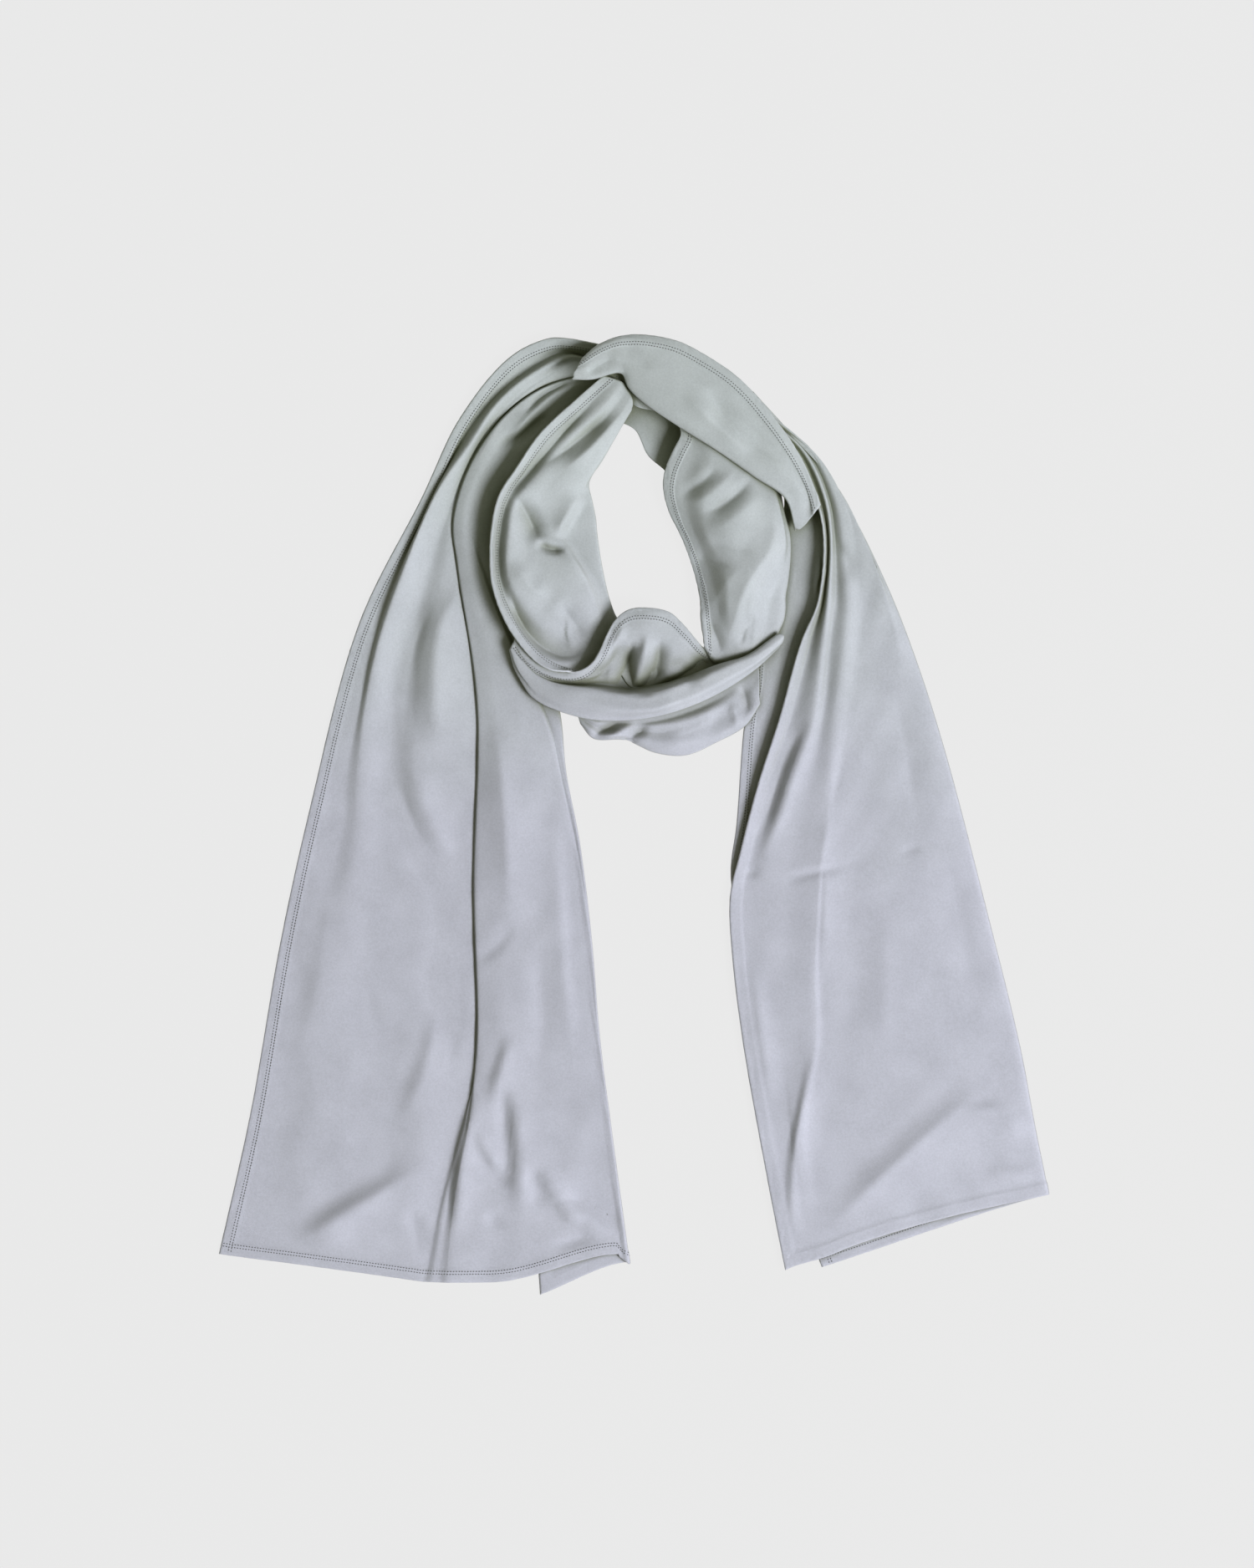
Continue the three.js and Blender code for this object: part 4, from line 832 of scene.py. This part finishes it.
LOOP_RIGHT_CREASES = [
    ([(820, 608), (845, 595), (868, 575), (882, 558)], 3.1, (20, 16)),
    ([(812, 596), (836, 582), (860, 560)], -2.8, (13, 12)),
    ([(838, 617), (862, 607), (887, 587), (900, 568)], -3.8, (12, 14)),
    ([(836, 634), (866, 628), (896, 606), (916, 588)], 2.9, (20, 55)),
    ([(906, 663), (872, 655), (838, 649)], -2.0, (17, 20)),
    ([(890, 672), (875, 690), (858, 713), (842, 738)], 3.2, (30, 44)),
    ([(824, 664), (848, 670), (874, 682)], -2.4, (12, 23)),
    ([(846, 738), (856, 760), (864, 784)], -2.6, (10, 12)),
    ([(838, 726), (842, 748), (848, 770)], 2.0, (9, 9)),
    ([(912, 592), (925, 640), (919, 662), (905, 682), (890, 708), (878, 742), (870, 776)], 3.1, (14, 29)),
    ([(904, 732), (892, 752), (884, 776)], -4.4, (18, 16)),
]

loop_right = stretch_with_folds("loop_right", LOOP_RIGHT, LOOP_RIGHT_CREASES, "small", ["first"], seed=31,
                                tuck=4.2 * MM,
                                inside={"rows_from_to": (0.05, 0.96), "columns_from_to": (0.06, 0.55),
                                        "floor": 5})

# Front underfold
# The lower layers of the strip where it turns across the front, showing below the front band.

FRONT_UNDERFOLD = {
    "folds": [
      {"name": "top edge", "path": [
        [902, 772, 3], [872, 792, 3.4], [835, 816, 4.4], [800, 830, 5], [765, 838, 5.4], [730, 840, 5.4],
        [700, 838, 5.4], [678, 834, 5.4]]},
      {"name": "hidden swell", "path": [
        [906, 790, 3.2], [880, 812, 4], [846, 834, 5.6], [808, 848, 6.6], [770, 856, 6.6], [735, 857, 6],
        [706, 853, 5.4], [682, 844, 5]]},
      {"name": "long ridge", "path": [
        [908, 808, 3.6], [885, 832, 3.8], [853, 848, 7], [812, 861, 7.6], [775, 867, 6.6],
        [742, 866, 4.4], [712, 863, 6], [686, 850, 4.6]]},
      {"name": "long trough", "path": [
        [908, 822, 4.4], [887, 846, 4.4], [860, 860, 4.4], [818, 875, 3], [780, 876, 3.4],
        [748, 872, 4.6], [714, 870, 3.6], [690, 855, 3.6]]},
      {"name": "low swell", "path": [
        [908, 834, 4.6], [888, 861, 5.2], [856, 878, 6], [820, 889, 5.6], [784, 888, 5], [750, 880, 5.4],
        [713, 877, 5], [693, 861, 3.4]]},
      {"name": "outer fold", "turn": 0.9, "path": [
        [909, 842, 3.4], [891, 868, 3], [856, 888, 1.6], [820, 903, 1.5], [784, 900, 1.5],
        [748, 885, 1.5], [710, 883, 1.5], [695, 866, 1.5]]},
      {"name": "under layer", "path": [
        [893, 826, 2.4], [873, 838, 1.8], [845, 848, 0.8], [808, 860, 0.6], [775, 862, 0.6],
        [742, 860, 0.6], [718, 856, 0.6], [702, 850, 0.6]]},
    ],
}

FRONT_UNDERFOLD_CREASES = [
    ([(704, 884), (722, 873), (744, 862)], -3.4, (10, 9)),
    ([(714, 890), (738, 878), (764, 863)], 2.6, (10, 10)),
    ([(742, 892), (758, 880), (778, 866)], -3.9, (15, 11)),
    ([(790, 880), (826, 872), (862, 856)], 2.9, (15, 15)),
    ([(800, 898), (836, 890), (866, 874)], -2.1, (12, 12)),
    ([(884, 816), (892, 836), (894, 858)], -3.1, (10, 10)),
    ([(872, 840), (880, 858), (880, 874)], 2.3, (10, 10)),
    ([(720, 866), (790, 862), (860, 836), (896, 808)], -2.6, (11, 9)),
]

front_underfold = stretch("front_underfold", FRONT_UNDERFOLD, FRONT_UNDERFOLD_CREASES, "small", [], seed=41,
                          material=loop_cloth)[1]

# Front of the loop
# The strip crossing the front: a turned hem round the neck opening, two finger folds, and a band
# of cloth rolled over its lower side.

LOOP_FRONT = {
    "folds": [
      {"name": "hem", "path": [
        [848, 781, 8], [838, 772, 11], [820, 751, 14], [800, 733, 16], [775, 728, 17], [752, 730, 17],
        [737, 741, 17], [727, 757, 18], [717, 780, 20], [708, 794, 21], [695, 802.5, 21], [680, 804, 19],
        [664, 801.5, 18.8], [646, 793.5, 18.6], [630, 779.5, 18.6], [617, 761, 18]]},
      {"name": "hem row", "path": [
        [853, 788, 6], [838, 783, 10], [818, 768, 15], [798, 752, 17.6], [775, 746, 18.6],
        [758, 748, 18], [746, 758, 17.6], [737, 772, 17.4], [727, 793, 17.6], [714, 806, 18],
        [697, 812, 18], [680, 813, 18], [662, 809, 18], [643, 800, 17.8], [628, 786, 17.8],
        [616, 766, 17.6]]},
      {"name": "finger brow", "path": [
        [864, 795, 4.8], [842, 793, 8], [818, 786, 12.6], [796, 779, 14.6], [775, 776, 16],
        [760, 778, 15.6], [750, 784, 14.6], [742, 794, 13.6], [730, 805, 13], [716, 812, 12.6],
        [697, 816, 13], [679, 816, 14.4], [660, 812, 16], [642, 802, 17], [627, 788, 17.4],
        [615, 768, 17.4]]},
      {"name": "crease", "path": [
        [894, 792, 5.6], [862, 803, 6.4], [836, 807, 7.2], [812, 812, 7.4], [790, 818, 7.6],
        [772, 821, 8], [757, 821, 8], [745, 820, 8.4], [730, 819, 9], [714, 818, 9.6], [695, 819, 11],
        [677, 819, 13], [659, 815, 15.4], [641, 805, 16.8], [626, 790, 17.4], [614, 770, 17.3]]},
      {"name": "band brink", "path": [
        [933, 759, 14], [897, 784, 17.4], [862, 795, 19], [830, 807, 20], [806, 818, 21], [786, 828, 22],
        [770, 833, 22], [752, 831, 22], [733, 828, 22], [714, 825, 22], [692, 823, 21.4],
        [674, 821, 20.6], [657, 817, 19.6], [640, 808, 18.6], [625, 792, 17.8], [613, 772, 17.4]]},
      {"name": "band brow", "path": [
        [937, 762, 14.6], [903, 786, 19], [866, 800, 21.6], [834, 813, 23], [808, 824, 24],
        [788, 834, 24.6], [770, 838, 24.8], [750, 837, 24.8], [731, 834, 24.6], [711, 831, 24.4],
        [688, 829, 23.8], [670, 827, 22.4], [653, 822, 20.8], [637, 812, 19], [623, 796, 18],
        [612, 774, 17.2]]},
      {"name": "band face", "path": [
        [936, 768, 13], [905, 792, 18], [870, 811, 21], [836, 828, 22.6], [806, 840, 23.6],
        [784, 848, 24], [766, 850, 24], [746, 850, 24], [724, 849, 23.6], [702, 845, 23], [680, 841, 22],
        [661, 836, 20.6], [645, 828, 19], [631, 816, 17.8], [619, 799, 17], [611, 776, 16.6]]},
      {"name": "band fold", "turn": 2.2, "path": [
        [932, 774, 8.4], [904, 800, 10], [872, 822, 11.6], [842, 838, 13], [808, 851, 14],
        [780, 858, 14.4], [758, 861, 14.4], [735, 862, 14.4], [712, 861, 14.4], [690, 857, 14.4],
        [665, 849, 14], [649, 842, 13.6], [635, 832, 13.4], [625, 817, 13.4], [616, 800, 13.4],
        [610, 778, 13.8]]},
      {"name": "band back", "path": [
        [918, 776, 6.8], [893, 800, 7.8], [862, 812, 9.2], [834, 827, 10.6], [806, 838, 11.6],
        [780, 844, 12], [760, 847, 12], [738, 847, 12], [718, 846, 12], [698, 842, 12], [676, 834, 11.8],
        [662, 828, 11.6], [650, 818, 12], [639, 806, 12.6], [629, 791, 13], [619, 773, 13.4]]},
    ],
}

LOOP_FRONT_CREASES = [
    ([(758, 764), (752, 795), (749, 832)], -12.0, (10, 22)),
    ([(774, 756), (770, 786), (758, 830)], 4.5, (9, 8)),
    ([(790, 762), (786, 794), (772, 826)], -8.0, (16, 9)),
    ([(838, 796), (802, 808), (764, 830)], 3.5, (8, 10)),
    ([(746, 764), (728, 795), (700, 816)], -7.0, (18, 12)),
    ([(844, 780), (834, 800), (812, 818)], -7.0, (16, 16)),
    ([(680, 812), (740, 825), (790, 820), (840, 804), (892, 784)], -8.0, (44, 6)),
    ([(750, 740), (738, 766), (722, 800)], 2.5, (10, 10)),
    ([(640, 806), (690, 836), (740, 848), (800, 846), (870, 820)], 1.6, (12, 12)),
]

stretch_with_folds("loop_front", LOOP_FRONT, LOOP_FRONT_CREASES, "small", ["first"], seed=51,
                   inside={"rows_from_to": (0.03, 0.48), "columns_from_to": (0.1, 0.5)})

# Left limb of the loop
# The strip going up the left side of the neck opening, its hem turned up along the outside.
# Its foot reaches a little further down the plan than its solid's, to lie close against the front.

LOOP_LEFT = {
    "folds": [
      {"name": "hem", "path": [
        [680, 804, 22], [660, 802, 22.8], [640, 791, 23], [614, 760, 23], [599, 731, 22.6],
        [589, 698, 22], [587, 673, 21.6], [588, 640, 21.4], [597, 596, 21], [618, 562, 20.6],
        [646, 521, 20], [689, 480, 19.6], [722, 451, 20.4]]},
      {"name": "hem trough", "path": [
        [691, 804, 13], [665, 793, 15.6], [647, 779, 16], [624, 750, 16], [609, 724, 15],
        [599, 695, 14.4], [597, 673, 14], [598, 643, 14], [606, 602, 14], [627, 569, 14],
        [655, 530, 14.6], [698, 490, 16], [731, 454, 19.6]]},
      {"name": "inner ridge", "path": [
        [703, 803, 9], [677, 783, 11], [655, 765, 14], [637, 742, 18], [621, 717, 20], [610, 690, 20.6],
        [608, 670, 20.6], [610, 640, 20.4], [617, 606, 20.4], [642, 572, 19.6], [676, 530, 19],
        [716, 494, 19], [744, 459, 20.6]]},
      {"name": "upper trough", "path": [
        [716, 798, 5], [692, 770, 7], [673, 752, 11], [655, 728, 14], [641, 704, 15.6], [632, 678, 15.6],
        [631, 655, 14.6], [634, 632, 12], [642, 606, 14], [662, 578, 15], [692, 545, 13.6],
        [722, 508, 14], [751, 469, 19.4]]},
      {"name": "middle ridge", "path": [
        [729, 790, 3.6], [706, 762, 6], [692, 738, 10.4], [678, 714, 13.6], [666, 690, 14.4],
        [660, 668, 13.4], [657, 648, 11], [662, 626, 8], [670, 600, 9.6], [684, 576, 12],
        [706, 548, 12.4], [729, 514, 14], [755, 476, 19]]},
      {"name": "front fold", "path": [
        [742, 779, 2.2], [724, 756, 4], [714, 730, 6.4], [704, 704, 8], [692, 680, 8.6], [678, 662, 8.4],
        [668, 646, 8], [674, 622, 6.6], [684, 600, 7], [693, 582, 9], [708, 562, 10], [731, 527, 12],
        [757, 482, 17.6]]},
      {"name": "fold foot", "path": [
        [750, 771, 2.2], [731, 750, 2.8], [719, 726, 3], [709, 703, 3.2], [697, 679, 3.4],
        [686, 660, 3.6], [680, 645, 4], [685, 621, 4], [692, 600, 4.4], [699, 583, 6], [712, 562, 8],
        [734, 527, 10], [757, 486, 16.8]]},
      {"name": "neck edge", "turn": 0.9, "path": [
        [760, 762, 1.5], [738, 740, 1.5], [729, 718, 1.5], [723, 694, 1.5], [718, 668, 1.5],
        [714, 640, 1.5], [712, 619, 1.5], [708, 600, 1.7], [704, 580, 2.4], [708, 569, 3.6],
        [719, 553, 5], [738, 520, 7.4], [755, 492, 15]]},
    ],
}

LOOP_LEFT_CREASES = [
    ([(716, 478), (690, 502), (656, 540), (630, 572), (616, 592)], -8.0, (34, 10)),
    ([(736, 488), (710, 512), (684, 534), (645, 562)], -6.0, (16, 16)),
    ([(752, 486), (728, 514), (702, 542), (668, 568)], 3.5, (16, 14)),
    ([(613, 588), (628, 612), (640, 636), (648, 652)], -8.0, (18, 26)),
    ([(696, 588), (682, 612), (670, 632), (664, 646)], 6.5, (12, 40)),
    ([(640, 648), (656, 657), (678, 660)], -6.0, (9, 9)),
    ([(650, 640), (662, 645), (676, 657), (691, 680), (704, 698), (717, 724), (729, 754)], 5.0, (10, 30)),
    ([(608, 674), (622, 686), (636, 704), (662, 716)], 5.0, (26, 24)),
    ([(610, 700), (622, 742), (648, 774), (680, 786), (706, 774)], -10.0, (52, 8)),
    ([(668, 718), (684, 742), (702, 766)], -4.0, (20, 24)),
]

stretch_with_folds("loop_left", LOOP_LEFT, LOOP_LEFT_CREASES, "small", ["first"], seed=61,
                   tuck=9 * MM,
                   inside={"rows_from_to": (0.12, 1.0), "columns_from_to": (0.08, 0.5), "floor": 8})

# Neck band
# The strip's last pass behind the neck, on top of all the others, rolled over at its inner side.

NECK_BAND = {
    "folds": [
      {"name": "lower return", "path": [
        [700, 440, 22], [716, 440, 22], [735, 436, 22], [755, 446, 22], [778, 462, 22], [815, 490, 21.8],
        [860, 521, 21.2], [905, 552, 20], [940, 580, 15.2], [954, 616, 7]]},
      {"name": "lower fold", "turn": 1.6, "path": [
        [684, 456, 23.4], [708, 456, 23.8], [743, 449, 24], [752, 466, 24], [768, 482, 24],
        [810, 511, 23.6], [856, 540, 22.8], [902, 572, 21.4], [939, 598, 16.4], [951, 636, 8]]},
      {"name": "lower brow", "path": [
        [686, 450, 26], [710, 447, 27], [742, 439, 27.6], [757, 454, 27.8], [775, 472, 28],
        [816, 502, 27.6], [862, 531, 26.4], [908, 562, 24.4], [945, 590, 18], [955, 634, 9.6]]},
      {"name": "lower swell", "path": [
        [689, 445, 27], [712, 438, 29], [742, 428, 30], [768, 440, 30.4], [793, 458, 30.4],
        [832, 486, 30], [876, 518, 28.4], [920, 553, 25.4], [954, 586, 18], [961, 630, 10]]},
      {"name": "valley", "path": [
        [692, 441, 26.6], [713, 430, 28.6], [745, 418, 29.6], [782, 430, 29.6], [812, 448, 29],
        [850, 476, 27.4], [892, 508, 25.4], [933, 547, 22], [963, 588, 15.6], [968, 622, 11]]},
      {"name": "hem row", "path": [
        [695, 436, 26], [714, 422, 28], [748, 410, 29], [795, 418, 29], [830, 437, 28.4], [872, 466, 27],
        [908, 500, 24.8], [945, 548, 21], [970, 592, 15.4], [975, 613, 14.6]]},
      {"name": "hem", "path": [
        [698, 431, 24], [717, 415, 26], [752, 404, 26.6], [806, 410, 26.6], [842, 427, 26],
        [884, 456, 24.6], [918, 493, 22.4], [955, 545, 19], [975, 588, 15.4], [981, 605, 14.6]]},
    ],
}

NECK_BAND_CREASES = [
    ([(844, 462), (866, 505), (896, 531), (940, 560)], -5.9, (23, 35)),
    ([(815, 470), (850, 505), (900, 548)], 4.0, (27, 19)),
    ([(738, 408), (760, 426), (782, 450)], -1.6, (18, 18)),
    ([(700, 452), (716, 440), (740, 430)], -3.0, (12, 12)),
]

stretch_with_folds("neck_band", NECK_BAND, NECK_BAND_CREASES, "small", ["last"], seed=71,
                   inside={"rows_from_to": (0.12, 0.9), "columns_from_to": (0.42, 0.9), "floor_column": 0.08})

# Setting
# A plain pale floor, soft light from the lower right under a dim warm sky, and the camera straight above.

PIXELS_WIDE, PIXELS_HIGH = 1500, 1876
LENS = 135
SENSOR = 36
FLOOR_TONE = 0.815

floor_mesh = bpy.data.meshes.new("floor")
reach = 6
floor_mesh.from_pydata([(-reach, -reach, 0), (reach, -reach, 0), (reach, reach, 0), (-reach, reach, 0)], [],
                       [(0, 1, 2, 3)])
floor = bpy.data.objects.new("floor", floor_mesh)
bpy.context.scene.collection.objects.link(floor)
floor.location.z = -0.5 * MM
paper = bpy.data.materials.new("paper")
paper.use_nodes = True
sheet_shader = paper.node_tree.nodes["Principled BSDF"]
sheet_shader.inputs["Base Color"].default_value = (0.02, 0.02, 0.02, 1)
sheet_shader.inputs["Roughness"].default_value = 1
sheet_shader.inputs["Specular IOR Level"].default_value = 0
sheet_shader.inputs["Emission Color"].default_value = (FLOOR_TONE, FLOOR_TONE, FLOOR_TONE, 1)
sheet_shader.inputs["Emission Strength"].default_value = 0.98
floor.data.materials.append(paper)


def area_light(name, place, size, power, tint):
    """A square soft light aimed at the middle of the scarf."""
    data = bpy.data.lights.new(name, "AREA")
    data.size, data.energy, data.color = size, power, tint
    light = bpy.data.objects.new(name, data)
    light.location = place
    aim = -light.location.normalized()
    light.rotation_mode = "QUATERNION"
    light.rotation_quaternion = aim.to_track_quat("-Z", "Y")
    bpy.context.scene.collection.objects.link(light)


area_light("key", (4.3, -2.2, 4.9), 2.6, 560, (0.93, 0.96, 1))

world = bpy.data.worlds.new("studio")
world.use_nodes = True
world.node_tree.nodes["Background"].inputs["Color"].default_value = (0.96, 1, 0.68, 1)
world.node_tree.nodes["Background"].inputs["Strength"].default_value = 0.2
bpy.context.scene.world = world
bpy.context.scene.view_settings.view_transform = "Standard"

camera = bpy.data.objects.new("camera", bpy.data.cameras.new("camera"))
camera.data.lens, camera.data.sensor_width = LENS, SENSOR
middle = placed([(PIXELS_WIDE / 2, PIXELS_HIGH / 2)])[0]
camera.location = (middle[0], middle[1], PIXELS_HIGH * PLAN_UNIT * LENS / SENSOR)
camera.data.clip_end = 50
bpy.context.scene.collection.objects.link(camera)
bpy.context.scene.camera = camera
